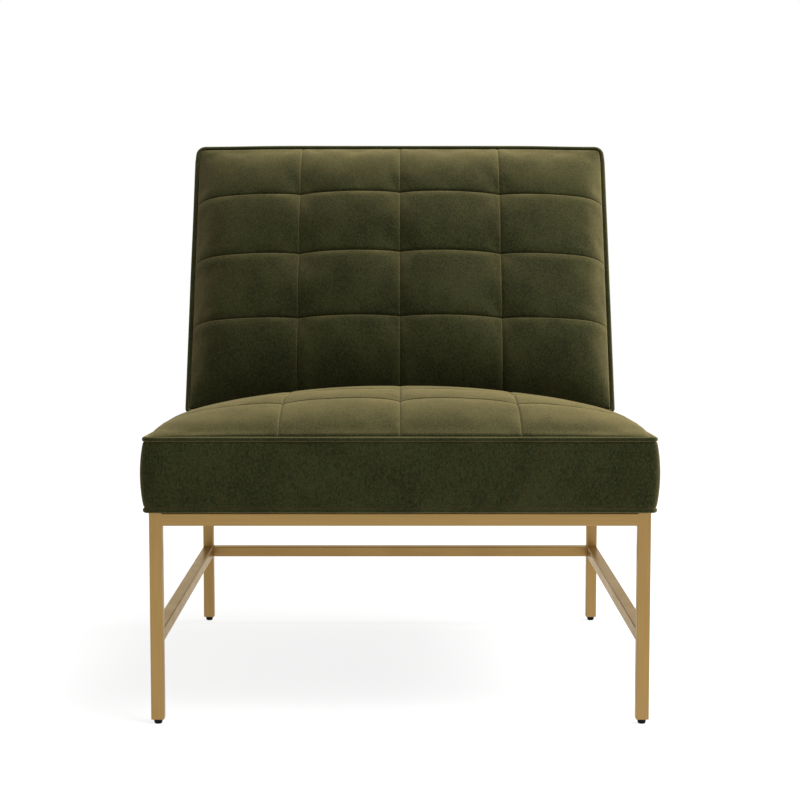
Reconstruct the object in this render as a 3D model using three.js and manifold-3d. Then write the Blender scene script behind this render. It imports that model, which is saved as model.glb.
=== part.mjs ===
// Slipper chair: an armless seat and a leaning back in sewn square tufts, on a welded square-tube base.
// Lengths are millimetres. The sitter faces -Y, +X is on the right in the front view, +Z is up.
// While the chair is built, Y is 0 at the front face of the metal base and Z is 0 at the floor.
import * as THREE from "three";
import { mergeVertices } from "three/addons/utils/BufferGeometryUtils.js";
import Module from "manifold-3d";

const wasm = await Module();
wasm.setup();

// Metal base
const frameWidth = 696;
const frameDepth = 720;
const frameTopHeight = 298.4;
const stretcherTopHeight = 133.3;
const tubeSize = 18;
const tubeWall = 1.5;
const tubeEdgeRadius = 1.5;
const weldGap = 0.05;
const tabLeg = 46;
const tabTip = 6;
const tabThickness = 3;
const screwInset = 22;

// Glides
const glideHeight = 7;
const glideTopRadius = 6.75;
const glideFootRadius = 5.5;
const glideEdgeRadius = 1;
const glideStemRadius = 4;
const glideStemLength = 16;
const legEndThickness = 3;

// Screws that hold the seat on the base
const screwRadius = 2.4;
const screwHeadRadius = 4.5;
const screwHeadHeight = 2.6;
const screwLength = 32;
const holeClearance = 0.3;

// Clearance between touching pieces, and the overrun of a cutting shape
const touchGap = 0.3;
const overrun = 20;

// Seat box: its outline is the centre line of the welt cords
const cordRadius = 3.6;
const seatOverhang = 3.5;
const seatCornerRadius = 9;
const seatBoxHeight = 98.9;
const seatPitchShare = 0.033;
const boxingProud = 0.5;
const seatBoxingBulge = 6.6;
const dustCoverThickness = 0.8;

// Timber
const boardThickness = 25;
const boardHeight = 60;
const boardChamfer = 4;
const blockLeg = 45;
const blockHeight = 48;

// Webbing straps
const strapThickness = 1.6;
const strapWidth = 58;
const strapRamp = 12;
const strapEndInset = 4;

// Sewn squares of both cushions
const tuftColumnPitch = 168;
const tuftRowPitch = 113;
const coverEdgeThickness = 3;
const foamCrownShare = 0.78;

// Seat cushion
const seatCrown = 64;
const seatNodePull = 6;
const seatSeamPull = 3;
const seatPuff = 2;
const seatWidthPowerShare = 2.3;
const seatDepthPowerShare = 2.5;
const seatDepthFullShare = 0.6;
const seatFrontFullShare = 0.4;
const seatRearFullShare = 1.1;

// Back. The foot inset is from the base's rear face to the back's lower front edge.
const backLeanDegrees = 24.5;
const backFootInset = 217;
const backPanelLength = 491.6;
const backSideInset = 1.1;
const backCornerRadius = 10;
const backTopThickness = 130;
const backFoamThickness = 42;
const backCrown = 70;
const backNodePull = 12;
const backSeamPull = 1.5;
const backPuff = 3.5;
const backWidthPowerShare = 2.7;
const backRisePowerShare = 4;
const backFullShare = 0.6;
const backRailHeight = 60;
const backRailRise = 62;
const backBoxingThickness = 4.8;
const backBoxingBulge = 3;
const rearPanelCrown = 3;

// Facets: in each sewn square, in the smooth foam below, and round corners, cords and round pieces
const facetsAcrossTuft = 7;
const facetsDownTuft = 6;
const foamFacets = 10;
const cornerFacets = 4;
const cordFacets = 8;
const roundFacets = 16;

const finishes = {
  brass: { color: 0xa88a55, roughness: 0.34, metalness: 1 },
  steel: { color: 0x9c9fa3, roughness: 0.4, metalness: 1 },
  plastic: { color: 0x161615, roughness: 0.55, metalness: 0 },
  velvet: { color: 0x3d3b22, roughness: 0.95, metalness: 0 },
  welt: { color: 0x35341e, roughness: 0.95, metalness: 0 },
  timber: { color: 0xb98f5e, roughness: 0.7, metalness: 0 },
  foam: { color: 0xe6ddba, roughness: 0.9, metalness: 0 },
  webbing: { color: 0x4b4238, roughness: 0.9, metalness: 0 },
  lining: { color: 0x1c1b19, roughness: 0.95, metalness: 0 },
};

// Seat box, from the sizes above. The inset from a welt's centre line clears the cord.
const seatHalfWidth = frameWidth / 2 + seatOverhang;
const seatFront = -seatOverhang;
const seatRear = frameDepth + seatOverhang;
const lowCordHeight = frameTopHeight + 2 * touchGap + cordRadius;
const seatEdgeHeight = lowCordHeight + seatBoxHeight;
const coverInset = cordRadius + touchGap;
const backFootDistance = frameDepth - backFootInset;
const coverRear = backFootDistance - touchGap;

// Timber lies against the inner faces of both boxings
const backHalfWidth = seatHalfWidth - backSideInset;
const backBoardInset = backBoxingThickness + touchGap;
const boardHalfWidth = backHalfWidth - backBoardInset;
const seatBoardInset = seatHalfWidth - boardHalfWidth;
const boardFront = seatFront + seatBoardInset;
const boardRear = seatRear - seatBoardInset;
const boardBottom = frameTopHeight + dustCoverThickness + 2 * touchGap;
const boardTop = boardBottom + boardHeight;
const innerHalfWidth = boardHalfWidth - boardThickness;
const railRear = coverRear;
const railFront = railRear - boardThickness;

// Heights in a weave above the timber: a strap below, a strap above, and the foam
const strapUnder = touchGap + strapThickness / 2;
const strapOver = strapUnder + strapThickness + touchGap;
const weaveHeight = strapOver + strapThickness / 2 + touchGap;

// Height of the seat's upper welt, at a distance behind the base's front face
function seatEdge(y) {
  return seatEdgeHeight - seatPitchShare * (y - seatFront);
}

// The back has a frame of its own: from its lower front edge, Y is up the back and Z is out to the sitter
const lean = THREE.MathUtils.degToRad(backLeanDegrees);
const backTurn = Math.PI / 2 - lean;
const backFoot = new THREE.Vector3(0, backFootDistance, seatEdge(backFootDistance) + coverInset);
const backLow = cordRadius;
const backHigh = backPanelLength - cordRadius;
const postFront = -backFoamThickness - weaveHeight;

function intoBack(y, z) {
  const behind = y - backFoot.y;
  const above = z - backFoot.z;
  return {
    rise: behind * Math.sin(lean) + above * Math.cos(lean),
    out: above * Math.sin(lean) - behind * Math.cos(lean),
  };
}

function outOfBack(rise, out) {
  return [
    backFoot.y + rise * Math.sin(lean) - out * Math.cos(lean),
    backFoot.z + rise * Math.cos(lean) + out * Math.sin(lean),
  ];
}

// The rear plane of the back runs from above the seat's rear edge to the full thickness at the top
const rearFoot = intoBack(seatRear, seatEdge(seatRear) + coverInset);
const rearTurn = Math.atan2(-backTopThickness - rearFoot.out, backHigh - rearFoot.rise);
const rearHigh = (backHigh - rearFoot.rise) / Math.cos(rearTurn);

// Where the timber behind a rise ends, one cord's clearance in front of the rear plane
function timberRear(rise) {
  return rearFoot.out + (rise - rearFoot.rise) * Math.tan(rearTurn) + coverInset / Math.cos(rearTurn);
}

function materialOf(name) {
  return new THREE.MeshStandardMaterial(finishes[name]);
}

// Solid for cutting, from a geometry whose seams are merged
function solidOf(geometry) {
  const plain = geometry.index ? geometry.toNonIndexed() : geometry.clone();
  plain.deleteAttribute("normal");
  plain.deleteAttribute("uv");
  const merged = mergeVertices(plain, touchGap / 100);
  const mesh = new wasm.Mesh({
    numProp: 3,
    vertProperties: merged.attributes.position.array,
    triVerts: new Uint32Array(merged.index.array),
  });
  return new wasm.Manifold(mesh);
}

function geometryOf(solid) {
  const mesh = solid.getMesh();
  const geometry = new THREE.BufferGeometry();
  geometry.setAttribute("position", new THREE.BufferAttribute(mesh.vertProperties, 3));
  geometry.setIndex(new THREE.BufferAttribute(mesh.triVerts, 1));
  const faceted = geometry.toNonIndexed();
  faceted.computeVertexNormals();
  return faceted;
}

function cut(geometry, ...cutters) {
  let solid = solidOf(geometry);
  for (const cutter of cutters) {
    solid = solid.subtract(solidOf(cutter));
  }
  return geometryOf(solid);
}

function keepInside(geometry, limit) {
  return geometryOf(solidOf(geometry).intersect(solidOf(limit)));
}

function addPiece(group, name, geometry, finish) {
  const mesh = new THREE.Mesh(geometry, materialOf(finish));
  mesh.name = name;
  group.add(mesh);
  return mesh;
}

function boxBetween(low, high) {
  const box = new THREE.BoxGeometry(high[0] - low[0], high[1] - low[1], high[2] - low[2]);
  box.translate((low[0] + high[0]) / 2, (low[1] + high[1]) / 2, (low[2] + high[2]) / 2);
  return box;
}

// Rectangle with round corners
function roundedShape(halfWidth, low, high, radius) {
  const shape = new THREE.Shape();
  const x = halfWidth - radius;
  const quarter = Math.PI / 2;
  shape.absarc(x, high - radius, radius, 0, quarter);
  shape.absarc(-x, high - radius, radius, quarter, 2 * quarter);
  shape.absarc(-x, low + radius, radius, 2 * quarter, 3 * quarter);
  shape.absarc(x, low + radius, radius, 3 * quarter, 4 * quarter);
  shape.closePath();
  return shape;
}

function polygonShape(points) {
  return new THREE.Shape(points.map(([x, y]) => new THREE.Vector2(x, y)));
}

function holePath(x, y, radius) {
  const path = new THREE.Path();
  path.absarc(x, y, radius, 0, 2 * Math.PI, true);
  return path;
}

// Each quarter of an arc gets twice as many facets as its curve segments
function extrude(shape, depth, curveSegments = cornerFacets / 2) {
  return new THREE.ExtrudeGeometry(shape, { depth, bevelEnabled: false, curveSegments });
}

function latheUpright(points, facets) {
  const profile = points.map(([radius, height]) => new THREE.Vector2(radius, height));
  const geometry = new THREE.LatheGeometry(profile, facets);
  geometry.rotateX(Math.PI / 2);
  return geometry;
}

function tubeShape(inset) {
  const half = tubeSize / 2 - inset;
  return roundedShape(half, -half, half, tubeEdgeRadius);
}

// Square tube along +Z, open at both ends
function tubeGeometry(length) {
  const shape = tubeShape(0);
  shape.holes.push(new THREE.Path(tubeShape(tubeWall).getPoints(1)));
  return extrude(shape, length, 1);
}

// Leg: a square tube with a closed top, and an end plate with the hole for the glide's stem
function legGeometry() {
  const length = frameTopHeight - glideHeight;
  const half = tubeSize / 2 - tubeWall;
  const bore = boxBetween([-half, -half, legEndThickness], [half, half, length - tubeWall]);
  const radius = glideStemRadius + holeClearance;
  const stemHole = new THREE.CylinderGeometry(radius, radius, 4 * legEndThickness, roundFacets);
  stemHole.rotateX(Math.PI / 2);
  return cut(extrude(tubeShape(0), length, 1), bore, stemHole);
}

function glideGeometry() {
  const top = glideHeight - weldGap;
  const stemTop = glideHeight + glideStemLength;
  const profile = [
    [0, 0],
    [glideFootRadius - glideEdgeRadius, 0],
    [glideFootRadius, glideEdgeRadius],
    [glideTopRadius, top],
    [glideStemRadius, top],
    [glideStemRadius, stemTop],
    [0, stemTop],
  ];
  return latheUpright(profile, roundFacets);
}

// The corners of the chair, anticlockwise seen from above
const corners = [
  { side: -1, end: -1, name: "front_left" },
  { side: 1, end: -1, name: "front_right" },
  { side: 1, end: 1, name: "rear_right" },
  { side: -1, end: 1, name: "rear_left" },
];

function cornerPlace(corner, inset) {
  const x = corner.side * (frameWidth / 2 - inset);
  const y = corner.end < 0 ? inset : frameDepth - inset;
  return [x, y];
}

function addLegs(group) {
  for (const corner of corners) {
    const [x, y] = cornerPlace(corner, tubeSize / 2);
    const leg = addPiece(group, `${corner.name}_leg`, legGeometry(), "brass");
    leg.position.set(x, y, glideHeight);
    const glide = addPiece(group, `${corner.name}_glide`, glideGeometry(), "plastic");
    glide.position.set(x, y, 0);
  }
}

// A tube across the chair, between two legs
function addCrossTube(group, name, y, top) {
  const reach = frameWidth / 2 - tubeSize - weldGap;
  const tube = addPiece(group, name, tubeGeometry(2 * reach), "brass");
  tube.rotation.y = Math.PI / 2;
  tube.position.set(-reach, y, top - tubeSize / 2);
}

// A tube from a front leg to a rear leg
function addSideTube(group, name, side, top) {
  const start = tubeSize + weldGap;
  const tube = addPiece(group, name, tubeGeometry(frameDepth - 2 * start), "brass");
  tube.rotation.x = -Math.PI / 2;
  tube.position.set((side * (frameWidth - tubeSize)) / 2, start, top - tubeSize / 2);
}

// Triangle with blunt tips, for a plate or block in a corner, with one upright hole
function cornerGeometry(leg, holeX, holeY, thickness) {
  const shape = polygonShape([[0, 0], [leg, 0], [leg, tabTip], [tabTip, leg], [0, leg]]);
  shape.holes.push(holePath(holeX, holeY, screwRadius + holeClearance));
  return extrude(shape, thickness, roundFacets / 2);
}

function addTabs(group) {
  corners.forEach((corner, index) => {
    const geometry = cornerGeometry(tabLeg, screwInset, screwInset, tabThickness);
    const tab = addPiece(group, `${corner.name}_seat_tab`, geometry, "brass");
    const [x, y] = cornerPlace(corner, tubeSize + weldGap);
    tab.rotation.z = (index * Math.PI) / 2;
    tab.position.set(x, y, frameTopHeight - tabThickness);
  });
}

function screwPlace(corner) {
  return cornerPlace(corner, tubeSize + weldGap + screwInset);
}

function addSeatScrews(group) {
  const profile = [
    [0, -screwHeadHeight],
    [screwHeadRadius / 2, -screwHeadHeight],
    [screwHeadRadius, -screwHeadHeight / 2],
    [screwHeadRadius, 0],
    [screwRadius, 0],
    [screwRadius, screwLength - 2 * screwRadius],
    [0, screwLength],
  ];
  for (const corner of corners) {
    const [x, y] = screwPlace(corner);
    const geometry = latheUpright(profile, roundFacets / 2);
    const screw = addPiece(group, `${corner.name}_seat_screw`, geometry, "steel");
    screw.position.set(x, y, frameTopHeight - tabThickness - weldGap);
  }
}

function addBase(group) {
  addLegs(group);
  addCrossTube(group, "front_rail", tubeSize / 2, frameTopHeight);
  addCrossTube(group, "rear_rail", frameDepth - tubeSize / 2, frameTopHeight);
  addSideTube(group, "left_side_rail", -1, frameTopHeight);
  addSideTube(group, "right_side_rail", 1, frameTopHeight);
  addCrossTube(group, "rear_stretcher", frameDepth - tubeSize / 2, stretcherTopHeight);
  addSideTube(group, "left_stretcher", -1, stretcherTopHeight);
  addSideTube(group, "right_stretcher", 1, stretcherTopHeight);
  addTabs(group);
  addSeatScrews(group);
}

// Side panel: one board from the front of the seat to the top of the back, with eased edges
function addSidePanels(group) {
  const headRise = backHigh - backBoardInset;
  const [toeY, toeZ] = outOfBack(0, postFront);
  const [lineY, lineZ] = outOfBack(0, timberRear(0));
  const [headY, headZ] = outOfBack(headRise, timberRear(headRise));
  const kneeZ = lineZ + ((boardRear - lineY) * (headZ - lineZ)) / (headY - lineY);
  const shape = polygonShape([
    [boardFront, boardBottom],
    [boardRear, boardBottom],
    [boardRear, kneeZ],
    [headY, headZ],
    outOfBack(headRise, postFront),
    [toeY + (boardTop - toeZ) * Math.tan(lean), boardTop],
    [boardFront, boardTop],
  ]);
  for (const side of [-1, 1]) {
    const geometry = new THREE.ExtrudeGeometry(shape, {
      depth: boardThickness - 2 * boardChamfer,
      bevelThickness: boardChamfer,
      bevelSize: boardChamfer,
      bevelOffset: -boardChamfer,
      bevelSegments: 1,
    });
    geometry.rotateX(Math.PI / 2);
    geometry.rotateZ(Math.PI / 2);
    const low = side < 0 ? -boardHalfWidth : innerHalfWidth;
    geometry.translate(low + boardChamfer, 0, 0);
    addPiece(group, side < 0 ? "left_side_panel" : "right_side_panel", geometry, "timber");
  }
}

function addCrossBoards(group) {
  const reach = innerHalfWidth - touchGap;
  const addBoard = (name, front, rear, top) => {
    const board = boxBetween([-reach, front, boardBottom], [reach, rear, top]);
    addPiece(group, name, board, "timber");
  };
  addBoard("front_seat_board", boardFront, boardFront + boardThickness, boardTop);
  addBoard("middle_seat_rail", railFront, railRear, boardTop);
  const rearTop = seatEdge(boardRear) - coverInset;
  addBoard("rear_seat_board", boardRear - boardThickness, boardRear, rearTop);
}

// Blocks in the corners of the seat frame. A block that is turned a quarter has its insets swapped.
function addCornerBlocks(group) {
  const cornerX = innerHalfWidth - touchGap;
  const cornerY = boardFront + boardThickness + touchGap;
  const [screwX, screwY] = screwPlace(corners[0]);
  const insets = [screwX + cornerX, screwY - cornerY];
  corners.forEach((corner, index) => {
    const [holeX, holeY] = index % 2 === 0 ? insets : [insets[1], insets[0]];
    const geometry = cornerGeometry(blockLeg, holeX, holeY, blockHeight);
    const block = addPiece(group, `${corner.name}_corner_block`, geometry, "timber");
    block.rotation.z = (index * Math.PI) / 2;
    const y = corner.end < 0 ? cornerY : frameDepth - cornerY;
    block.position.set(corner.side * cornerX, y, boardBottom);
  });
}

function addDustCover(group) {
  const inset = seatBoardInset + boardChamfer;
  const reach = seatHalfWidth - inset;
  const shape = roundedShape(reach, seatFront + inset, seatRear - inset, boardChamfer);
  for (const corner of corners) {
    const [x, y] = screwPlace(corner);
    shape.holes.push(holePath(x, y, screwRadius + holeClearance));
  }
  const sheet = extrude(shape, dustCoverThickness, roundFacets / 4);
  sheet.translate(0, 0, frameTopHeight + touchGap);
  addPiece(group, "dust_cover", sheet, "lining");
}

// Strap along X, centred on Y, that rises over each crossing strap whose place is given
function strapGeometry(reach, crossings) {
  const half = strapWidth / 2;
  const path = [[-reach, strapUnder]];
  for (const place of crossings) {
    path.push([place - half - strapRamp, strapUnder]);
    path.push([place - half - touchGap, strapOver]);
    path.push([place + half + touchGap, strapOver]);
    path.push([place + half + strapRamp, strapUnder]);
  }
  path.push([reach, strapUnder]);
  const lower = path.map(([along, height]) => [along, height - strapThickness / 2]);
  const upper = path.map(([along, height]) => [along, height + strapThickness / 2]);
  const geometry = extrude(polygonShape(lower.concat(upper.reverse())), strapWidth);
  geometry.translate(0, 0, -half);
  geometry.rotateX(Math.PI / 2);
  return geometry;
}

// Even places for straps over an opening, measured from its middle
function strapPlaces(opening, count) {
  const spacing = opening / (count + 1);
  return Array.from({ length: count }, (_, index) => spacing * (index + 1) - opening / 2);
}

// Straps woven over an opening, about the group's origin. The first size is across, the second is along.
function addWebbing(group, name, reaches, openings, counts) {
  const rows = strapPlaces(openings[1], counts[0]);
  const columns = strapPlaces(openings[0], counts[1]);
  rows.forEach((place, row) => {
    const crossings = columns.filter((_, column) => (row + column) % 2 === 0);
    const geometry = strapGeometry(reaches[0], crossings);
    geometry.translate(0, place, 0);
    addPiece(group, `${name}_cross_strap_${row + 1}`, geometry, "webbing");
  });
  columns.forEach((place, column) => {
    const crossings = rows.filter((_, row) => (row + column) % 2 === 1);
    const geometry = strapGeometry(reaches[1], crossings);
    geometry.rotateZ(Math.PI / 2);
    geometry.translate(place, 0, 0);
    addPiece(group, `${name}_long_strap_${column + 1}`, geometry, "webbing");
  });
}

function addSeatWebbing(group) {
  const webbing = new THREE.Group();
  webbing.position.set(0, (boardFront + railRear) / 2, boardTop);
  group.add(webbing);
  const reaches = [boardHalfWidth - strapEndInset, (railRear - boardFront) / 2 - strapEndInset];
  const openings = [2 * innerHalfWidth, railFront - boardFront - boardThickness];
  addWebbing(webbing, "seat", reaches, openings, [3, 4]);
}

// Places round a rectangle with round corners, anticlockwise from the middle of its low side
function loopPlaces(halfWidth, low, high, radius) {
  const quarter = Math.PI / 2;
  const middle = (low + high) / 2;
  const x = halfWidth - radius;
  const sides = [
    { turn: [x, low + radius], end: { x: halfWidth, y: middle, nx: 1, ny: 0 } },
    { turn: [x, high - radius], end: { x: 0, y: high, nx: 0, ny: 1 } },
    { turn: [-x, high - radius], end: { x: -halfWidth, y: middle, nx: -1, ny: 0 } },
    { turn: [-x, low + radius], end: { x: 0, y: low, nx: 0, ny: -1 } },
  ];
  const places = [sides[3].end];
  sides.forEach((side, index) => {
    for (let step = 0; step <= cornerFacets; step += 1) {
      const angle = quarter * (index - 1 + step / cornerFacets);
      const nx = Math.cos(angle);
      const ny = Math.sin(angle);
      places.push({ x: side.turn[0] + radius * nx, y: side.turn[1] + radius * ny, nx, ny });
    }
    places.push(side.end);
  });
  places.pop();
  return places;
}

// Path through chosen points, sampled at those points and nowhere else
class CordPath extends THREE.Curve {
  constructor(points) {
    super();
    this.points = points;
    this.spans = points.length - 1;
  }

  getPoint(share) {
    const index = Math.min(Math.floor(share * this.spans), this.spans - 1);
    const start = this.points[index].clone();
    return start.lerp(this.points[index + 1], share * this.spans - index);
  }

  getPointAt(share) {
    return this.getPoint(share);
  }

  getTangentAt(share) {
    const index = Math.round(share * this.spans);
    const before = this.points[Math.max(index - 1, 0)];
    const after = this.points[Math.min(index + 1, this.spans)];
    return after.clone().sub(before).normalize();
  }
}

// Welt cord round a loop. Its ends meet, a touching gap apart, in the middle of the low side.
function cordGeometry(places, heightOf) {
  const points = places.map(({ x, y }) => new THREE.Vector3(x, y, heightOf(y)));
  const last = points[0].clone();
  points[0].x += touchGap / 2;
  last.x -= touchGap / 2;
  points.push(last);
  const section = new THREE.Shape();
  section.absarc(0, 0, cordRadius, 0, 2 * Math.PI);
  return new THREE.ExtrudeGeometry(section, {
    steps: points.length - 1,
    extrudePath: new CordPath(points),
    curveSegments: cordFacets / 2,
  });
}

// Band along a row of stations. A profile lists shares of the way from low to high, and reaches outwards.
function bandGeometry(stations, profileOf, closed) {
  const positions = [];
  const index = [];
  const profiles = stations.map(({ low, high }) => profileOf(low.distanceTo(high)));
  const count = profiles[0].length;
  stations.forEach((station, place) => {
    for (const [share, outward] of profiles[place]) {
      const point = station.low.clone().lerp(station.high, share);
      positions.push(...point.addScaledVector(station.normal, outward).toArray());
    }
  });
  for (let span = 0; span < stations.length - (closed ? 0 : 1); span += 1) {
    const here = span * count;
    const next = ((span + 1) % stations.length) * count;
    for (let step = 0; step < count; step += 1) {
      const after = (step + 1) % count;
      index.push(here + step, next + step, next + after);
      index.push(here + step, next + after, here + after);
    }
  }
  const last = (stations.length - 1) * count;
  for (let step = 1; step < count - 1 && !closed; step += 1) {
    index.push(0, step, step + 1);
    index.push(last, last + step + 1, last + step);
  }
  const geometry = new THREE.BufferGeometry();
  geometry.setAttribute("position", new THREE.Float32BufferAttribute(positions, 3));
  geometry.setIndex(index);
  return geometry;
}

// Bulged outer face and flat inner face of a boxing strip between two cords
function boxingProfile(span, bulge, thickness) {
  const edgeShare = coverInset / span;
  const outerShares = [edgeShare, 0.12, 0.28, 0.5, 0.72, 0.88, 1 - edgeShare];
  const outer = outerShares.map((share) => [share, boxingProud + bulge * Math.sin(Math.PI * share)]);
  return [...outer, [1 - edgeShare, -thickness], [edgeShare, -thickness]];
}

function addSeatBoxing(group) {
  const places = loopPlaces(seatHalfWidth, seatFront, seatRear, seatCornerRadius);
  const stations = places.map(({ x, y, nx, ny }) => ({
    low: new THREE.Vector3(x, y, lowCordHeight),
    high: new THREE.Vector3(x, y, seatEdge(y)),
    normal: new THREE.Vector3(nx, ny, 0),
  }));
  const profileOf = (span) => boxingProfile(span, seatBoxingBulge, seatBoardInset - touchGap);
  addPiece(group, "seat_boxing", bandGeometry(stations, profileOf, true), "velvet");
}

// The seat's cords are turned half round, so that their ends meet at the rear
function addSeatWelts(group) {
  const turned = new THREE.Group();
  turned.rotation.z = Math.PI;
  turned.position.set(0, frameDepth, 0);
  group.add(turned);
  const places = loopPlaces(seatHalfWidth, seatFront, seatRear, seatCornerRadius);
  const upper = cordGeometry(places, (y) => seatEdge(frameDepth - y));
  addPiece(turned, "seat_upper_welt", upper, "welt");
  addPiece(turned, "seat_lower_welt", cordGeometry(places, () => lowCordHeight), "welt");
}

// Body over a grid of lines, with a shaped top and a flat bottom
function crownedGeometry(xs, ys, topOf, bottom) {
  const positions = [];
  const index = [];
  const columns = xs.length;
  const rows = ys.length;
  ys.forEach((y) => xs.forEach((x) => positions.push(x, y, topOf(x, y))));
  for (let row = 0; row < rows - 1; row += 1) {
    for (let column = 0; column < columns - 1; column += 1) {
      const a = row * columns + column;
      const [b, c, d] = [a + 1, a + columns + 1, a + columns];
      index.push(...((row + column) % 2 === 0 ? [a, b, c, a, c, d] : [a, b, d, b, c, d]));
    }
  }
  const rim = [];
  for (let column = 0; column < columns - 1; column += 1) {
    rim.push(column);
  }
  for (let row = 0; row < rows - 1; row += 1) {
    rim.push(row * columns + columns - 1);
  }
  for (let column = columns - 1; column > 0; column -= 1) {
    rim.push((rows - 1) * columns + column);
  }
  for (let row = rows - 1; row > 0; row -= 1) {
    rim.push(row * columns);
  }
  const base = rows * columns;
  for (const vertex of rim) {
    positions.push(positions[3 * vertex], positions[3 * vertex + 1], bottom);
  }
  const middle = base + rim.length;
  positions.push((xs[0] + xs.at(-1)) / 2, (ys[0] + ys.at(-1)) / 2, bottom);
  rim.forEach((vertex, step) => {
    const after = (step + 1) % rim.length;
    index.push(vertex, base + step, base + after);
    index.push(vertex, base + after, rim[after]);
    index.push(middle, base + after, base + step);
  });
  const geometry = new THREE.BufferGeometry();
  geometry.setAttribute("position", new THREE.Float32BufferAttribute(positions, 3));
  geometry.setIndex(index);
  return geometry;
}

// Grid lines from low to high, closer together at both ends by an easing share
function easedLines(low, high, count, easingShare) {
  const lines = [];
  for (let step = 0; step <= count; step += 1) {
    const even = step / count;
    const eased = (1 - Math.cos(Math.PI * even)) / 2;
    lines.push(low + (high - low) * (even + (eased - even) * easingShare));
  }
  return lines;
}

// Grid lines on each seam, and closer together near the seams
function seamLines(seams, facets, pitch) {
  const lines = [seams[0]];
  for (let cell = 0; cell < seams.length - 1; cell += 1) {
    const span = seams[cell + 1] - seams[cell];
    const count = Math.max(2, Math.round(facets * Math.min(1, span / pitch)));
    lines.push(...easedLines(seams[cell], seams[cell + 1], count, 0.5).slice(1));
  }
  return lines;
}

// Share of the full crown at a distance from the middle, which falls to nothing at the edge
function crownShare(distance, half, power, fullness) {
  const share = Math.min(Math.abs(distance) / half, 1);
  return (1 - share ** power) ** fullness;
}

// Sine arch over the sewn square that holds a value: 0 on the seams, 1 in the middle
function arch(value, seams) {
  const next = seams.findIndex((seam, index) => index > 0 && value <= seam);
  const high = next < 0 ? seams.length - 1 : next;
  const share = (value - seams[high - 1]) / (seams[high] - seams[high - 1]);
  return Math.sin(Math.PI * Math.min(Math.max(share, 0), 1));
}

// How far a sewn square stands above the smooth crown, or is pulled below it
function tuftHeight(x, y, columns, rows, puff, seamPull, nodePull) {
  const across = arch(x, columns);
  const along = arch(y, rows);
  const fullness = Math.sqrt(across * along);
  return (puff + seamPull) * fullness - seamPull - nodePull * (1 - Math.max(across, along));
}

// Sewn lines of the seat: columns over its width, and rows from the front edge to the back's foot
const seatColumns = [-seatHalfWidth, -tuftColumnPitch, 0, tuftColumnPitch, seatHalfWidth];
const seatRows = [seatFront];
for (let y = tuftRowPitch; y < coverRear - tuftRowPitch / 3; y += tuftRowPitch) {
  seatRows.push(y);
}
seatRows.push(coverRear);

// Sewn lines of the back, in its own frame
const backColumns = [-backHalfWidth, -tuftColumnPitch, 0, tuftColumnPitch, backHalfWidth];
const backRows = [backLow];
for (let row = 3; row > 0; row -= 1) {
  backRows.push(backHigh - row * tuftRowPitch);
}
backRows.push(backHigh);

const seatXs = seamLines(seatColumns, facetsAcrossTuft, tuftColumnPitch);
const seatYs = seamLines(seatRows, facetsDownTuft, tuftRowPitch);
const backXs = seamLines(backColumns, facetsAcrossTuft, tuftColumnPitch);
const backYs = seamLines(backRows, facetsDownTuft, tuftRowPitch);

function seatCrownShare(x, y) {
  const half = (coverRear - seatFront) / 2;
  const alongShare = Math.min(Math.max((y - seatFront) / (2 * half), 0), 1);
  const fullness = seatFrontFullShare + (seatRearFullShare - seatFrontFullShare) * alongShare;
  const across = crownShare(x, seatHalfWidth - coverInset, seatWidthPowerShare, fullness);
  return across * crownShare(y - seatFront - half, half, seatDepthPowerShare, seatDepthFullShare);
}

function seatTop(x, y) {
  const tuft = tuftHeight(x, y, seatColumns, seatRows, seatPuff, seatSeamPull, seatNodePull);
  return seatEdge(y) + coverEdgeThickness / 2 + (seatCrown + tuft) * seatCrownShare(x, y);
}

function seatFoamTop(x, y) {
  return seatEdge(y) - coverEdgeThickness / 2 + seatCrown * foamCrownShare * seatCrownShare(x, y);
}

function backCrownShare(x, rise) {
  const half = (backHigh - backLow) / 2 - coverInset;
  const across = crownShare(x, backHalfWidth - coverInset, backWidthPowerShare, backFullShare);
  return across * crownShare(rise - (backHigh + backLow) / 2, half, backRisePowerShare, backFullShare);
}

function backTop(x, rise) {
  const tuft = tuftHeight(x, rise, backColumns, backRows, backPuff, backSeamPull, backNodePull);
  return coverEdgeThickness / 2 + (backCrown + tuft) * backCrownShare(x, rise);
}

function backFoamTop(x, rise) {
  return backCrown * foamCrownShare * backCrownShare(x, rise) - coverEdgeThickness / 2;
}

// Upright prism with round corners, to trim a cushion's outline
function prism(halfWidth, low, high, radius, bottom, top) {
  const shape = roundedShape(halfWidth, low, high, radius);
  const geometry = extrude(shape, top - bottom);
  geometry.translate(0, 0, bottom);
  return geometry;
}

// Space of the back's padded front, kept clear where the seat is pressed against it
function backClearance() {
  const xs = backXs.map((x) => x * (1 + touchGap / backHalfWidth));
  const ys = backYs.map((rise) => rise - touchGap);
  const raised = (x, rise) => backTop(x, rise) + touchGap;
  const body = crownedGeometry(xs, ys, raised, -backFoamThickness);
  body.rotateX(backTurn);
  body.translate(0, backFoot.y, backFoot.z);
  return body;
}

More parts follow.
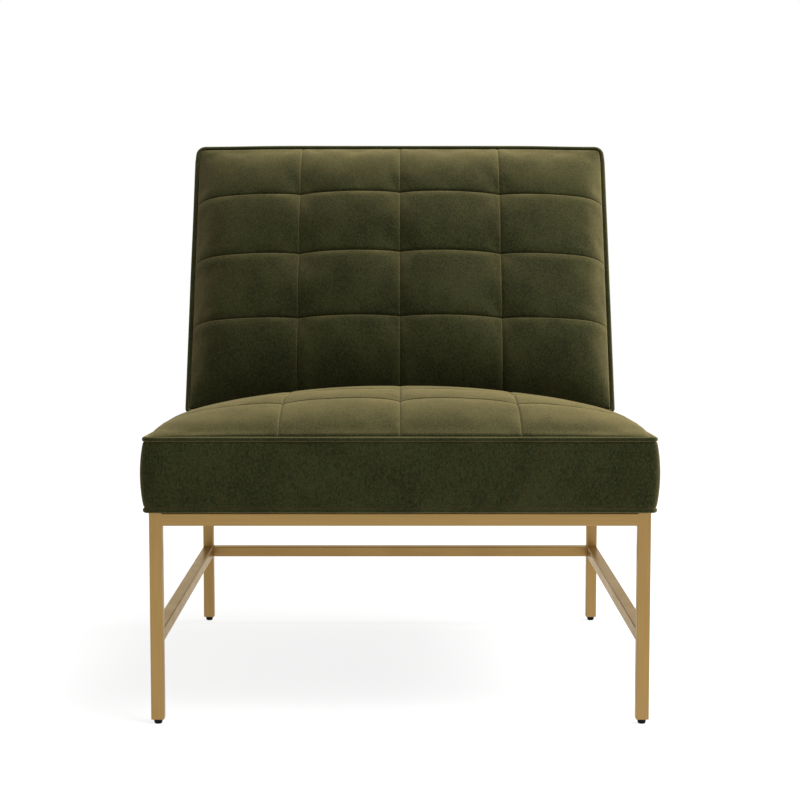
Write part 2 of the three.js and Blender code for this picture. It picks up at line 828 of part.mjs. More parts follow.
function addSeatCushion(group) {
  const foamBottom = boardTop + weaveHeight;
  const top = seatEdgeHeight + 2 * seatCrown;
  const clear = backClearance();
  const xs = easedLines(-seatHalfWidth, seatHalfWidth, foamFacets, 1);
  const ys = easedLines(seatFront, coverRear, foamFacets, 1);
  const foam = crownedGeometry(xs, ys, seatFoamTop, foamBottom);
  const foamLimit = prism(boardHalfWidth, boardFront, coverRear, boardChamfer, boardBottom, top);
  addPiece(group, "seat_foam", cut(keepInside(foam, foamLimit), clear), "foam");
  const lifted = (x, y) => seatFoamTop(x, y) + touchGap;
  const longYs = ys.map((y) => (y === coverRear ? y + touchGap : y));
  const below = crownedGeometry(xs, longYs, lifted, boardBottom);
  const cover = crownedGeometry(seatXs, seatYs, seatTop, foamBottom);
  const half = seatHalfWidth - coverInset;
  const radius = seatCornerRadius - coverInset;
  const limit = prism(half, seatFront + coverInset, coverRear, radius, boardBottom, top);
  addPiece(group, "seat_tufted_cover", cut(keepInside(cover, limit), below, clear), "velvet");
}

function addBackCushion(group) {
  const top = 2 * backCrown;
  const xs = easedLines(-backHalfWidth, backHalfWidth, foamFacets, 1);
  const ys = easedLines(backLow, backHigh, foamFacets, 1);
  const foam = crownedGeometry(xs, ys, backFoamTop, -backFoamThickness);
  const foamLow = backLow + backBoardInset;
  const foamHigh = backHigh - backBoardInset;
  const foamRadius = backCornerRadius - backBoardInset;
  const foamLimit = prism(boardHalfWidth, foamLow, foamHigh, foamRadius, -top, top);
  addPiece(group, "back_foam", keepInside(foam, foamLimit), "foam");
  const lifted = (x, rise) => backFoamTop(x, rise) + touchGap;
  const below = crownedGeometry(xs, ys, lifted, -top);
  const cover = crownedGeometry(backXs, backYs, backTop, -backFoamThickness);
  const half = backHalfWidth - coverInset;
  const radius = backCornerRadius - coverInset;
  const limit = prism(half, backLow + coverInset, backHigh - coverInset, radius, -top, top);
  addPiece(group, "back_tufted_cover", cut(keepInside(cover, limit), below), "velvet");
}

// Boxing of the back: up the right side, over the top and down the left side
function addBackBoxing(group) {
  const fronts = loopPlaces(backHalfWidth, 0, backHigh, backCornerRadius);
  const rears = loopPlaces(backHalfWidth, 0, rearHigh, backCornerRadius);
  const first = cornerFacets + 2;
  const last = fronts.length - first;
  const stationAt = (index, frontRise, rearRise) => ({
    low: new THREE.Vector3(
      rears[index].x,
      rearFoot.rise + rearRise * Math.cos(rearTurn),
      rearFoot.out + rearRise * Math.sin(rearTurn),
    ),
    high: new THREE.Vector3(fronts[index].x, frontRise, 0),
    normal: new THREE.Vector3(fronts[index].nx, fronts[index].ny, 0),
  });
  const stations = [stationAt(first, 0, 0)];
  for (let index = first; index <= last; index += 1) {
    stations.push(stationAt(index, fronts[index].y, rears[index].y));
  }
  stations.push(stationAt(last, 0, 0));
  const profileOf = (span) => boxingProfile(span, backBoxingBulge, backBoxingThickness);
  addPiece(group, "back_boxing", bandGeometry(stations, profileOf, false), "velvet");
}

function addBackWelts(group) {
  const front = loopPlaces(backHalfWidth, backLow, backHigh, backCornerRadius);
  addPiece(group, "back_front_welt", cordGeometry(front, () => 0), "welt");
  const rearGroup = new THREE.Group();
  rearGroup.position.set(0, rearFoot.rise, rearFoot.out);
  rearGroup.rotation.x = rearTurn;
  group.add(rearGroup);
  const rear = loopPlaces(backHalfWidth, backLow, rearHigh, backCornerRadius);
  addPiece(rearGroup, "back_rear_welt", cordGeometry(rear, () => 0), "welt");
  addRearPanel(rearGroup);
}

// Plain panel inside the rear welt. It is turned to face the rear.
function addRearPanel(group) {
  const turned = new THREE.Group();
  turned.rotation.y = Math.PI;
  group.add(turned);
  const half = backHalfWidth - coverInset;
  const low = backLow + coverInset;
  const high = rearHigh - coverInset;
  const xs = easedLines(-half, half, foamFacets, 1);
  const ys = easedLines(low, high, foamFacets, 1);
  const topOf = (x, rise) => {
    const along = crownShare(rise - (low + high) / 2, (high - low) / 2, 2, 1);
    return rearPanelCrown * crownShare(x, half, 2, 1) * along;
  };
  const panel = crownedGeometry(xs, ys, topOf, -cordRadius);
  const radius = backCornerRadius - coverInset;
  const edge = touchGap / 2;
  const limit = prism(half - edge, low + edge, high - edge, radius, -overrun, overrun);
  addPiece(turned, "back_rear_panel", keepInside(panel, limit), "velvet");
}

// Cross rails of the back, and the webbing that carries its foam
function addBackRails(group) {
  const reach = innerHalfWidth - touchGap;
  const headRise = backHigh - backBoardInset;
  const headLow = [-reach, headRise - boardThickness, timberRear(headRise)];
  const head = boxBetween(headLow, [reach, headRise, postFront]);
  addPiece(group, "back_top_rail", head, "timber");
  const railTop = backRailRise + backRailHeight;
  const railLow = [-reach, backRailRise, postFront - boardThickness];
  addPiece(group, "back_lower_rail", boxBetween(railLow, [reach, railTop, postFront]), "timber");
  const webbing = new THREE.Group();
  webbing.position.set(0, (backRailRise + headRise) / 2, postFront);
  group.add(webbing);
  const reaches = [boardHalfWidth - strapEndInset, (headRise - backRailRise) / 2 - strapEndInset];
  const openings = [2 * innerHalfWidth, headRise - boardThickness - railTop];
  addWebbing(webbing, "back", reaches, openings, [2, 2]);
}

function addSeat(group) {
  addDustCover(group);
  addSidePanels(group);
  addCrossBoards(group);
  addCornerBlocks(group);
  addSeatWebbing(group);
  addSeatCushion(group);
  addSeatBoxing(group);
  addSeatWelts(group);
}

function addBack(group) {
  const back = new THREE.Group();
  back.position.copy(backFoot);
  back.rotation.x = backTurn;
  group.add(back);
  addBackRails(back);
  addBackCushion(back);
  addBackBoxing(back);
  addBackWelts(back);
}

const assembly = new THREE.Group();
addBase(assembly);
addSeat(assembly);
addBack(assembly);

// The part's origin is on the floor, under the middle of the chair's outline
assembly.updateMatrixWorld(true);
const bounds = new THREE.Box3().setFromObject(assembly, true);
const middle = bounds.getCenter(new THREE.Vector3());
assembly.position.set(-middle.x, -middle.y, -bounds.min.z);

const chair = new THREE.Group();
chair.add(assembly);

export default chair;
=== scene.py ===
"""Slipper chair in olive velvet on a satin brass base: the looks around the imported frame."""

import math

import bmesh
import bpy
import numpy as np
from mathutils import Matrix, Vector
from mathutils.bvhtree import BVHTree


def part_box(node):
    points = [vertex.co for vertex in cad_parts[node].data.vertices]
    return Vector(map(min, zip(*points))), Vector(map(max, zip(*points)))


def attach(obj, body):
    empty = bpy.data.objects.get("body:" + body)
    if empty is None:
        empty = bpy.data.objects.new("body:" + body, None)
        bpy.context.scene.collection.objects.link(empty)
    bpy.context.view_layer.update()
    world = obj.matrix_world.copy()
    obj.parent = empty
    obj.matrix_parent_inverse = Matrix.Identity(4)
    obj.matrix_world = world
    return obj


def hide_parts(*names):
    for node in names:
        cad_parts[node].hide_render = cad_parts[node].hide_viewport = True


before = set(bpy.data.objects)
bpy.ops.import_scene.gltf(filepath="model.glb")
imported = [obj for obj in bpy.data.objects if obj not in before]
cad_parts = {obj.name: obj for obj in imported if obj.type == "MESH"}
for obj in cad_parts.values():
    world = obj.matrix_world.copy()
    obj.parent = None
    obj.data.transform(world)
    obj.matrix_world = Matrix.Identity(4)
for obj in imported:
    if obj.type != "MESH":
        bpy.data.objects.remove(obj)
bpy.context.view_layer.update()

MM = 0.001

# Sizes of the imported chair, in millimetres. Y is measured from the front face of the metal base.
# Places on the back are measured across it, up it (rise) and out of it towards the sitter.
CORD_RADIUS = 3.6
TOUCH = 0.3
COLUMN_PITCH = 168.0

# Seat
SEAT_HALF_WIDTH = 351.5
SEAT_FRONT = -3.5
SEAT_REAR = 723.5
SEAT_EDGE = 401.5
SEAT_PITCH = 0.033
SEAT_LOW_CORD = 302.6
SEAT_CORNER = 6.4
SEAT_CROWN = 59.8

# Back
BACK_FOOT_Y = 503.0
BACK_FOOT_Z = 388.685
BACK_LEAN = math.radians(24.5)
BACK_HALF_WIDTH = 350.4
BACK_LOW = 3.6
BACK_HIGH = 488.0
BACK_LOW_CORNER = 5.5
BACK_CORNER = 12.5
BACK_CROWN = 71.0
BACK_THICKNESS = 130.0
REAR_CROWN = 3.0
REAR_CLOTH_OUT = 0.4

# The back's upper corners droop and are drawn in over these distances from its middle
BACK_DROOP = 1.8
BACK_DROOP_RANGE = (200.0, 345.0)
BACK_DRAW_IN = 1.3
BACK_DRAW_IN_RANGE = (320.0, 345.0)

# Timber and foam inside, webbing, dust cloth, and the base's tube
BOARD_HALF_WIDTH = 345.3
BOARD_FRONT = 2.7
BOARD_THICKNESS = 25.0
BOARD_TOP = 359.8
BOARD_CLEARANCE = 5.1
BACK_BOARD_FRONT = -46.1
BACK_LOWER_RAIL_LOW = 62.0
BACK_LOWER_RAIL_HIGH = 122.0
FOAM_BOTTOM = 363.9
FOAM_SHARE = 0.78
FOAM_RIM_DROP = 3.0
BACK_FOAM_THICKNESS = 42.0
WADDING = 4.0
STRAP_THICKNESS = 1.6
STRAP_WIDTH = 58.0
STRAP_RAMP = 12.0
STRAP_END_GAP = 4.0
DUST_CLOTH_SAG = 3.0
DUST_CLOTH_RIPPLE = 0.25
DUST_CLOTH_THICKNESS = 0.5
TUBE_EDGE_RADIUS = 1.5
WELD_GAP = 0.05
WELD_SET_BACK = 0.6

# Covers: their distance inside the cords' middle lines, and how they turn down at the rim
COVER_INSET = 3.9
COVER_THINNEST = 1.2
CORNER_LOSS = 3.5
ROLL_RADIUS = 2.6
RIM_DROP = 1.0
SEAT_RIM_LIFT = 1.1
BACK_RIM_LIFT = 3.6
SIDE_REACH = 0.7
SEAT_CORD_PROUD = 1.4
BACK_CORD_PROUD = 0.6

FRONT_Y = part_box("front_rail")[0][1]
SEAT_END = BACK_FOOT_Y - TOUCH
SEAT_COVER_HALF = SEAT_HALF_WIDTH - COVER_INSET
BACK_COVER_HALF = BACK_HALF_WIDTH - COVER_INSET
SEAT_COLUMNS = [-SEAT_COVER_HALF, -COLUMN_PITCH, 0.0, COLUMN_PITCH, SEAT_COVER_HALF]
SEAT_ROWS = [SEAT_FRONT + COVER_INSET, 113.0, 226.0, 339.0, 452.0, SEAT_END]
BACK_COLUMNS = [-BACK_COVER_HALF, -COLUMN_PITCH, 0.0, COLUMN_PITCH, BACK_COVER_HALF]
BACK_ROWS = [BACK_LOW + COVER_INSET, 149.0, 264.5, 375.0, BACK_HIGH - COVER_INSET]

# Pulls of the sewn lines. Nodes are the points where two of them cross, and reach is their width.
# fold is the step at a column's seam, row the groove at a row's seam with its widths above and below.
SEAT_SEWING = dict(
    seam=0.6, puff=0.4, node=7.5, side_node=5.5, reach=24.0, fold=2.8, fold_width=3.4,
    row=3.2, above=3.0, below=2.0, slack=50.0, crease=0.8,
)
BACK_SEWING = dict(
    seam=0.6, puff=0.6, node=11.5, side_node=14.5, reach=30.0, fold=2.7, fold_width=4.8,
    row=2.0, above=5.5, below=11.0, slack=0.0, crease=1.4,
)
FOLD_RADIUS = 4.0
CREASE_REACH = 1.5

# Where along the seat its rear sinks, the row grooves widen and the cloth is stretched,
# and where across it the row grooves fade
REAR_SINK = 0.016
REAR_SINK_RANGE = (230.0, 300.0)
SLACK_RANGE = (130.0, 210.0)
STRETCHED_SHARE = 0.7
STRETCHED_RANGE = (200.0, 330.0)
ROW_FADE = 0.6
ROW_FADE_RANGE = (190.0, 260.0)

# Simulated filling of the covers, and the lines of their meshes
CLOTH_FRAMES = 24
CLOTH_SPACING = 11.0
FILLING_PRESSURE = 6.0
SEAT_FILLING_MOVE = 1.6
BACK_FILLING_MOVE = 3.0
SEAM_SIDE_LINES = [0.7, 1.6, 2.8, 4.4, 6.6, 10.0, 15.0]

# Bands between the cords: bulge, thickness, the cords' pucker, and the tuck beside the cords
SEAT_BULGE = 6.6
BACK_BULGE = 2.8
SEAT_BAND_THICKNESS = 5.9
BACK_BAND_THICKNESS = 4.8
BAND_OUT = 0.5
BAND_FULLNESS = 0.65
PUCKER_REACH = 9.0
BAND_TUCK = 0.7
TUCK_REACH = 1.2

rng = np.random.default_rng(28)


# Shapes of the two cushions


def smooth_step(value, low, high):
    share = np.clip((value - low) / (high - low), 0, 1)
    return share * share * (3 - 2 * share)


def seat_edge(y):
    """Height of the seat's upper cord."""
    return SEAT_EDGE - SEAT_PITCH * (y - SEAT_FRONT)


def crown_share(distance, half, power, fullness):
    share = np.minimum(np.abs(distance) / half, 1.0)
    return (1.0 - share**power) ** fullness


def seat_crown_share(x, y):
    """Fuller at the front edge than at the rear, and a little sunk behind the second seam."""
    half = (SEAT_END - SEAT_FRONT) / 2
    along = np.clip((y - SEAT_FRONT) / (2 * half), 0, 1)
    across = crown_share(x, SEAT_COVER_HALF, power=2.0, fullness=0.32 + 0.56 * along)
    lengthwise = crown_share(y - SEAT_FRONT - half, half, power=2.95, fullness=0.85 - 0.11 * along)
    sunk = 1 - REAR_SINK * smooth_step(y, *REAR_SINK_RANGE)
    return sunk * across * lengthwise


def back_crown_share(x, rise):
    """Half a round crown and half a flat one across, flat with round ends upwards."""
    half = (BACK_HIGH - BACK_LOW) / 2 - COVER_INSET
    round_share = crown_share(x, BACK_COVER_HALF, power=2, fullness=1)
    flat_share = crown_share(x, BACK_COVER_HALF, power=20, fullness=1)
    upwards = crown_share(rise - (BACK_HIGH + BACK_LOW) / 2, half, power=4.2, fullness=0.88)
    return (0.49 * round_share + 0.51 * flat_share) * upwards


def arch(value, seams):
    """Sine arch over the sewn square that holds a value: 0 on the seams, 1 in the middle."""
    share = np.zeros_like(value)
    for low, high in zip(seams[:-1], seams[1:]):
        inside = (value >= low) & (value <= high)
        share[inside] = (value[inside] - low) / (high - low)
    return np.sin(np.pi * np.clip(share, 0, 1))


def node_pit(x, y, columns, rows, sewing):
    """Dimples where two seams cross."""
    pit = np.zeros_like(x)
    for column in columns[1:-1]:
        pull = sewing["node"] if abs(column) < 1 else sewing["side_node"]
        for row in rows[1:-1]:
            distance = np.hypot(x - column, y - row)
            pit = np.maximum(pit, pull * np.exp(-distance / sewing["reach"]))
    return pit


def sewn_shape(x, y, columns, rows, sewing):
    """How far the cloth stands above the smooth crown, less where it is sewn down."""
    fullness = (arch(x, columns) * arch(y, rows)) ** 0.5
    lift = (sewing["puff"] + sewing["seam"]) * fullness - sewing["seam"]
    return lift - node_pit(x, y, columns, rows, sewing)


def seam_side(value, seams):
    """Signed distance from the nearest inner seam line."""
    side = value[..., None] - np.asarray(seams[1:-1])
    nearest = np.argmin(np.abs(side), axis=-1)[..., None]
    return np.take_along_axis(side, nearest, axis=-1)[..., 0]


def seam_groove(x, y, columns, rows, sewing):
    """Roll of the cloth down into each sewn line. A column's left edge is folded over its right edge."""
    side = seam_side(x, columns)
    left = 1 - np.sqrt(1 - np.clip(1 + side / FOLD_RADIUS, 0, 1) ** 2)
    right = np.clip(1 - side / sewing["fold_width"], 0, 1) ** 2
    side_y = seam_side(y, rows)
    below = sewing["below"] + sewing["slack"] * smooth_step(y, *SLACK_RANGE)
    along = np.where(side_y > 0, 1 - side_y / sewing["above"], 1 + side_y / below)
    outer_share = 1 - ROW_FADE * smooth_step(np.abs(x), *ROW_FADE_RANGE)
    along = sewing["row"] * np.clip(along, 0, 1) ** 2 * outer_share
    along += sewing["crease"] * np.clip(1 - np.abs(side_y) / CREASE_REACH, 0, 1)
    return np.maximum(sewing["fold"] * np.where(side < 0, left, right), along)


def rim_roll(x, y, columns, rows):
    """0 at the cushion's rim, 1 inside it: the cloth turns down beside the cord on a small radius."""
    gap = np.minimum(columns[-1] - np.abs(x), np.minimum(y - rows[0], rows[-1] - y))
    share = 1 - np.clip(gap / ROLL_RADIUS, 0, 1)
    return np.sqrt(1 - share**2)


def seat_softness(y):
    """The seat's sewing shows less towards the back, where the cloth is stretched."""
    return 1 - STRETCHED_SHARE * smooth_step(y, *STRETCHED_RANGE)


def seat_height(x, y):
    shape = seat_softness(y) * sewn_shape(x, y, SEAT_COLUMNS, SEAT_ROWS, SEAT_SEWING)
    roll = rim_roll(x, y, SEAT_COLUMNS, SEAT_ROWS)
    lift = SEAT_RIM_LIFT + RIM_DROP + (SEAT_CROWN + shape) * seat_crown_share(x, y)
    return seat_edge(y) - RIM_DROP + lift * roll


def back_height(x, rise):
    shape = sewn_shape(x, rise, BACK_COLUMNS, BACK_ROWS, BACK_SEWING)
    roll = rim_roll(x, rise, BACK_COLUMNS, BACK_ROWS)
    lift = BACK_RIM_LIFT + RIM_DROP + (BACK_CROWN + shape) * back_crown_share(x, rise)
    return lift * roll - RIM_DROP


def seat_foam_height(x, y):
    foam = seat_edge(y) - FOAM_RIM_DROP + SEAT_CROWN * FOAM_SHARE * seat_crown_share(x, y)
    return np.minimum(foam, seat_height(x, y) - WADDING)


def back_foam_height(x, rise):
    foam = BACK_CROWN * FOAM_SHARE * back_crown_share(x, rise) - FOAM_RIM_DROP
    return np.minimum(foam, back_height(x, rise) - WADDING)


def grid_lines(seams, spacing, close=()):
    """Grid lines on every seam, evenly between them, and at the close distances beside each seam."""
    lines = [seams[0]]
    for low, high in zip(seams[:-1], seams[1:]):
        span = high - low
        near = [step for step in close if step < span / 2]
        first = near[-1] if near else 0
        rest = span - 2 * first
        count = max(2, round(rest / spacing))
        middle = [first + rest * step / count for step in range(1, count)]
        offsets = near + middle + [span - step for step in reversed(near)] + [span]
        lines.extend(low + offset for offset in offsets)
    return np.array(lines)


def add_object(name, data):
    made = bpy.data.objects.new(name, data)
    bpy.context.collection.objects.link(made)
    return made


def cloth_settings(cloth, pressure):
    values = dict(
        quality=6, mass=0.25, shrink_min=-0.018, vertex_group_mass="sewn",
        tension_stiffness=12, compression_stiffness=12, shear_stiffness=6, bending_stiffness=0.6,
        tension_damping=12, compression_damping=12, shear_damping=12, bending_damping=1.0, air_damping=4,
        use_pressure=True, uniform_pressure_force=pressure,
    )
    for key, value in values.items():
        setattr(cloth.settings, key, value)
    cloth.settings.effector_weights.gravity = 0
    cloth.point_cache.frame_start = 1
    cloth.point_cache.frame_end = CLOTH_FRAMES


def blown_out(name, start, held, pressure):
    """A sheet's points after its filling has pressed it out, with the held points kept where they are."""
    count_y, count_x = held.shape
    mesh = bpy.data.meshes.new(name)
    mesh.from_pydata([tuple(v) for v in (start.reshape(-1, 3) * MM)], [], grid_faces(count_x, count_y))
    sheet = add_object(name, mesh)
    sewn = sheet.vertex_groups.new(name="sewn")
    sewn.add([int(i) for i in np.flatnonzero(held.reshape(-1))], 1.0, "REPLACE")
    cloth_settings(sheet.modifiers.new("filling", "CLOTH"), pressure)
    for step in range(1, CLOTH_FRAMES + 1):
        bpy.context.scene.frame_set(step)
    shown = sheet.evaluated_get(bpy.context.evaluated_depsgraph_get())
    shaped = shown.to_mesh()
    flat = np.empty(len(shaped.vertices) * 3)
    shaped.vertices.foreach_get("co", flat)
    shown.to_mesh_clear()
    bpy.context.scene.frame_set(1)
    bpy.data.objects.remove(sheet)
    return flat.reshape(start.shape) / MM


def filled_offset(name, columns, rows, height_of, pressure, limit):
    """How far the cloth between the sewn lines moves when it is filled: grid lines and a grid of moves."""
    xs = grid_lines(columns, CLOTH_SPACING)
    ys = grid_lines(rows, CLOTH_SPACING)
    x, y = np.meshgrid(xs, ys)
    start = np.stack([x, y, height_of(x, y)], axis=-1)
    move = blown_out(name, start, np.isin(x, columns) | np.isin(y, rows), pressure) - start
    length = np.linalg.norm(move, axis=-1, keepdims=True)
    move *= limit * np.tanh(length / limit) / np.maximum(length, 1e-6)
    return xs, ys, move


def sample_grid(xs, ys, values, x, y):
    """Smooth reading of a grid of values at other places."""
    column = np.clip(np.searchsorted(xs, x) - 1, 0, len(xs) - 2)
    row = np.clip(np.searchsorted(ys, y) - 1, 0, len(ys) - 2)
    a = ((x - xs[column]) / (xs[column + 1] - xs[column]))[..., None]
    b = ((y - ys[row]) / (ys[row + 1] - ys[row]))[..., None]
    low = values[row, column] * (1 - a) + values[row, column + 1] * a
    high = values[row + 1, column] * (1 - a) + values[row + 1, column + 1] * a
    return low * (1 - b) + high * b


# Meshes


def grid_faces(count_x, count_y, offset=0, flip=False):
    faces = []
    for row in range(count_y - 1):
        for column in range(count_x - 1):
            a = offset + row * count_x + column
            face = (a, a + 1, a + count_x + 1, a + count_x)
            faces.append(face[::-1] if flip else face)
    return faces


def seat_place(points):
    """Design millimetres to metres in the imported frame."""
    placed = np.asarray(points, dtype=float) * MM
    placed[..., 1] += FRONT_Y
    return placed


def back_place(points):
    """Places on the back (across, up the back, out to the sitter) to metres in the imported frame."""
    points = np.asarray(points, dtype=float)
    x, rise, out = points[..., 0], points[..., 1], points[..., 2]
    y = BACK_FOOT_Y + rise * math.sin(BACK_LEAN) - out * math.cos(BACK_LEAN)
    z = BACK_FOOT_Z + rise * math.cos(BACK_LEAN) + out * math.sin(BACK_LEAN)
    return seat_place(np.stack([x, y, z], axis=-1))


def outward(mesh):
    """Turns every face of a closed mesh to the outside."""
    shell = bmesh.new()
    shell.from_mesh(mesh)
    bmesh.ops.recalc_face_normals(shell, faces=shell.faces)
    shell.to_mesh(mesh)
    shell.free()


def add_piece(name, points, faces, material, packed=None):
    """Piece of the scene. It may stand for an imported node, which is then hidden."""
    mesh = bpy.data.meshes.new(name)
    mesh.from_pydata([tuple(v) for v in np.asarray(points).reshape(-1, 3)], [], faces)
    mesh.validate()
    outward(mesh)
    mesh.materials.append(material)
    mesh.polygons.foreach_set("use_smooth", [True] * len(mesh.polygons))
    mesh.update()
    piece = add_object(name, mesh)
    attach(piece, "root")
    if packed:
        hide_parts(packed)
    return piece


def eased(x, rise, high):
    """Places on the back with its two upper corners lowered and drawn in a little."""
    down = smooth_step(np.abs(x), *BACK_DROOP_RANGE) * smooth_step(rise, high - 60, high)
    inward = smooth_step(np.abs(x), *BACK_DRAW_IN_RANGE) * smooth_step(rise, high - 30, high - 6)
    return x - np.sign(x) * BACK_DRAW_IN * inward, rise - BACK_DROOP * down


def rounded(x, y, half, low, high, radius):
    """Places of a rectangular grid, drawn in at the four corners onto round corners."""
    centre = (low + high) / 2
    half_y = (high - low) / 2
    dx = (np.abs(x) - (half - radius)) / radius
    dy = (np.abs(y - centre) - (half_y - radius)) / radius
    corner = (dx > 0) & (dy > 0)
    round_x = dx * np.sqrt(np.maximum(0, 1 - dy**2 / 2))
    round_y = dy * np.sqrt(np.maximum(0, 1 - dx**2 / 2))
    new_x = np.sign(x) * (half - radius + round_x * radius)
    new_y = centre + np.sign(y - centre) * (half_y - radius + round_y * radius)
    return np.where(corner, new_x, x), np.where(corner, new_y, y)


def closed_grid(top, bottom):
    """Closed body between a top grid and a bottom grid of points."""
    count_y, count_x = top.shape[:2]
    total = count_x * count_y
    faces = grid_faces(count_x, count_y) + grid_faces(count_x, count_y, total, True)
    rim = list(range(count_x))
    rim += [row * count_x + count_x - 1 for row in range(1, count_y)]
    rim += [(count_y - 1) * count_x + column for column in range(count_x - 2, -1, -1)]
    rim += [row * count_x for row in range(count_y - 2, 0, -1)]
    for here, after in zip(rim, rim[1:] + rim[:1]):
        faces.append((here, total + here, total + after, after))
    return np.concatenate([top.reshape(-1, 3), bottom.reshape(-1, 3)]), faces


def cushion_top(name, columns, rows, height_of, sewing, softness, corners, pressure, limit):
    """Filled cloth of a cushion, as a fine grid of points. corners are its low and high corner radii."""
    xs = grid_lines(columns, spacing=9.0, close=SEAM_SIDE_LINES)
    ys = grid_lines(rows, spacing=8.5, close=SEAM_SIDE_LINES)
    x, y = np.meshgrid(xs, ys)
    grid = filled_offset(name + "_cloth", columns, rows, height_of, pressure, limit)
    soft = softness(y)
    move = sample_grid(*grid, x, y) * soft[..., None]
    groove = seam_groove(x, y, columns, rows, sewing) * soft * rim_roll(x, y, columns, rows)
    corner = np.where(y < np.mean(rows), *corners) - CORNER_LOSS
    px, py = rounded(x + move[..., 0], y + move[..., 1], columns[-1], rows[0], rows[-1], corner)
    px = px * (1 + SIDE_REACH / columns[-1])
    return x, y, np.stack([px, py, height_of(x, y) - groove + move[..., 2]], axis=-1)


def cushion(name, packed, x, y, top, foam_of, place):
    """Sewn cover of a cushion: a closed body whose top is the filled cloth."""
    bottom = top.copy()
    bottom[..., 2] = np.minimum(foam_of(x, y) + 2 * TOUCH, top[..., 2] - COVER_THINNEST)
    points, faces = closed_grid(top, bottom)
    return add_piece(name, place(points), faces, velvet, packed)


def pressed_under(top, pieces, first_y=340.0, below=12.0, reach=140.0, clear=0.6, soft=5.0):
    """Lowers the seat's cloth behind first_y where the back's lower edge rests on it, found by rays."""
    trees = [BVHTree.FromPolygons(*plain_mesh(piece)) for piece in pieces]
    up = Vector((0, 0, 1))
    for row, column in np.ndindex(top.shape[:2]):
        x, y, z = top[row, column]
        if y < first_y:
            continue
        start = Vector(seat_place((x, y, seat_edge(y) - below)))
        hits = [tree.ray_cast(start, up, reach * MM)[0] for tree in trees]
        heights = [hit.z / MM for hit in hits if hit is not None]
        if not heights:
            continue
        above = z - (min(heights) - clear)
        if above > soft:
            top[row, column, 2] = min(heights) - clear
        elif above > -soft:
            top[row, column, 2] -= (above + soft) ** 2 / (4 * soft)


def plain_mesh(piece):
    mesh = piece.data
    points = [vertex.co.copy() for vertex in mesh.vertices]
    return points, [tuple(polygon.vertices) for polygon in mesh.polygons]


def foam_block(name, packed, half, low, high, height_of, bottom, place, radius):
    xs = np.concatenate([[-half], np.linspace(-half + 1, half - 1, 41), [half]])
    ys = np.concatenate([[low], np.linspace(low + 1, high - 1, 31), [high]])
    x, y = np.meshgrid(xs, ys)
    px, py = rounded(x, y, half, low, high, radius)
    top = np.stack([px, py, height_of(x, y)], axis=-1)
    base = np.stack([px, py, np.full_like(x, bottom)], axis=-1)
    points, faces = closed_grid(top, base)
    add_piece(name, place(points), faces, foam_cells, packed)


def corner_stations(centre, radius, start, steps=7):
    """Places and outward normals over a quarter turn from a start angle in degrees."""
    made = []
    for step in range(steps + 1):
        angle = math.radians(start + 90 * step / steps)
        nx, ny = math.cos(angle), math.sin(angle)
        made.append((centre[0] + radius * nx, centre[1] + radius * ny, nx, ny))
    return made


def loop_stations(half, low, high, low_radius, radius, spacing=14.0):
    """Places and outward normals round a rectangle with round corners, anticlockwise."""
    stations = []
    turns = [
        ((half - low_radius, low + low_radius), low_radius, -90),
        ((half - radius, high - radius), radius, 0),
        ((-half + radius, high - radius), radius, 90),
        ((-half + low_radius, low + low_radius), low_radius, 180),
    ]
    side = high - low - low_radius - radius
    straights = [side, 2 * (half - radius), side, 2 * (half - low_radius)]
    for turn, straight in zip(turns, straights):
        stations += corner_stations(*turn)
        count = max(2, round(straight / spacing))
        x, y, nx, ny = stations[-1]
        for step in range(1, count):
            distance = straight * step / count
            stations.append((x - ny * distance, y + nx * distance, nx, ny))
    return np.array(stations)


def eased_stations(stations, high):
    stations = np.array(stations)
    stations[:, 0], stations[:, 1] = eased(stations[:, 0], stations[:, 1], high)
    return stations


def raised(places, height):
    """Flat places with a third coordinate, one for all or one for each."""
    return np.column_stack([places, np.broadcast_to(height, len(places))])


def sweep_faces(count_along, count_round, closed):
    faces = []
    spans = count_along if closed else count_along - 1
    for span in range(spans):
        here = span * count_round
        after = ((span + 1) % count_along) * count_round
        for step in range(count_round):
            far = (step + 1) % count_round
            faces.append((here + step, after + step, after + far, here + far))
    if not closed:
        faces.append(tuple(reversed(range(count_round))))
        last = (count_along - 1) * count_round
        faces.append(tuple(last + step for step in range(count_round)))
    return faces


def cord_round(name, packed, stations, height_of, place):
    """Welt cord round a closed loop, with the slight unevenness of covered cord."""
    sides = 14
    count = len(stations)
    wave = smooth_noise(count, width=5, size=0.05)
    points = []
    for index, (x, y, nx, ny) in enumerate(stations):
        radius = CORD_RADIUS * (1 + wave[index])
        for side in range(sides):
            angle = 2 * math.pi * side / sides
            out = radius * math.cos(angle)
            points.append((x + nx * out, y + ny * out, height_of(y) + radius * math.sin(angle)))
    faces = sweep_faces(count, sides, True)
    return add_piece(name, place(points), faces, lit_welt_velvet, packed)


def smooth_noise(count, width, size):
    """Closed ring of smooth random values."""
    values = rng.normal(0, 1, count)
    kernel = np.hanning(2 * width + 3)[1:-1]
    kernel /= kernel.sum()
    ring = np.concatenate([values[-width:], values, values[:width]])
    smooth = np.convolve(ring, kernel, mode="valid")
    return size * smooth / max(1e-6, np.abs(smooth).max())


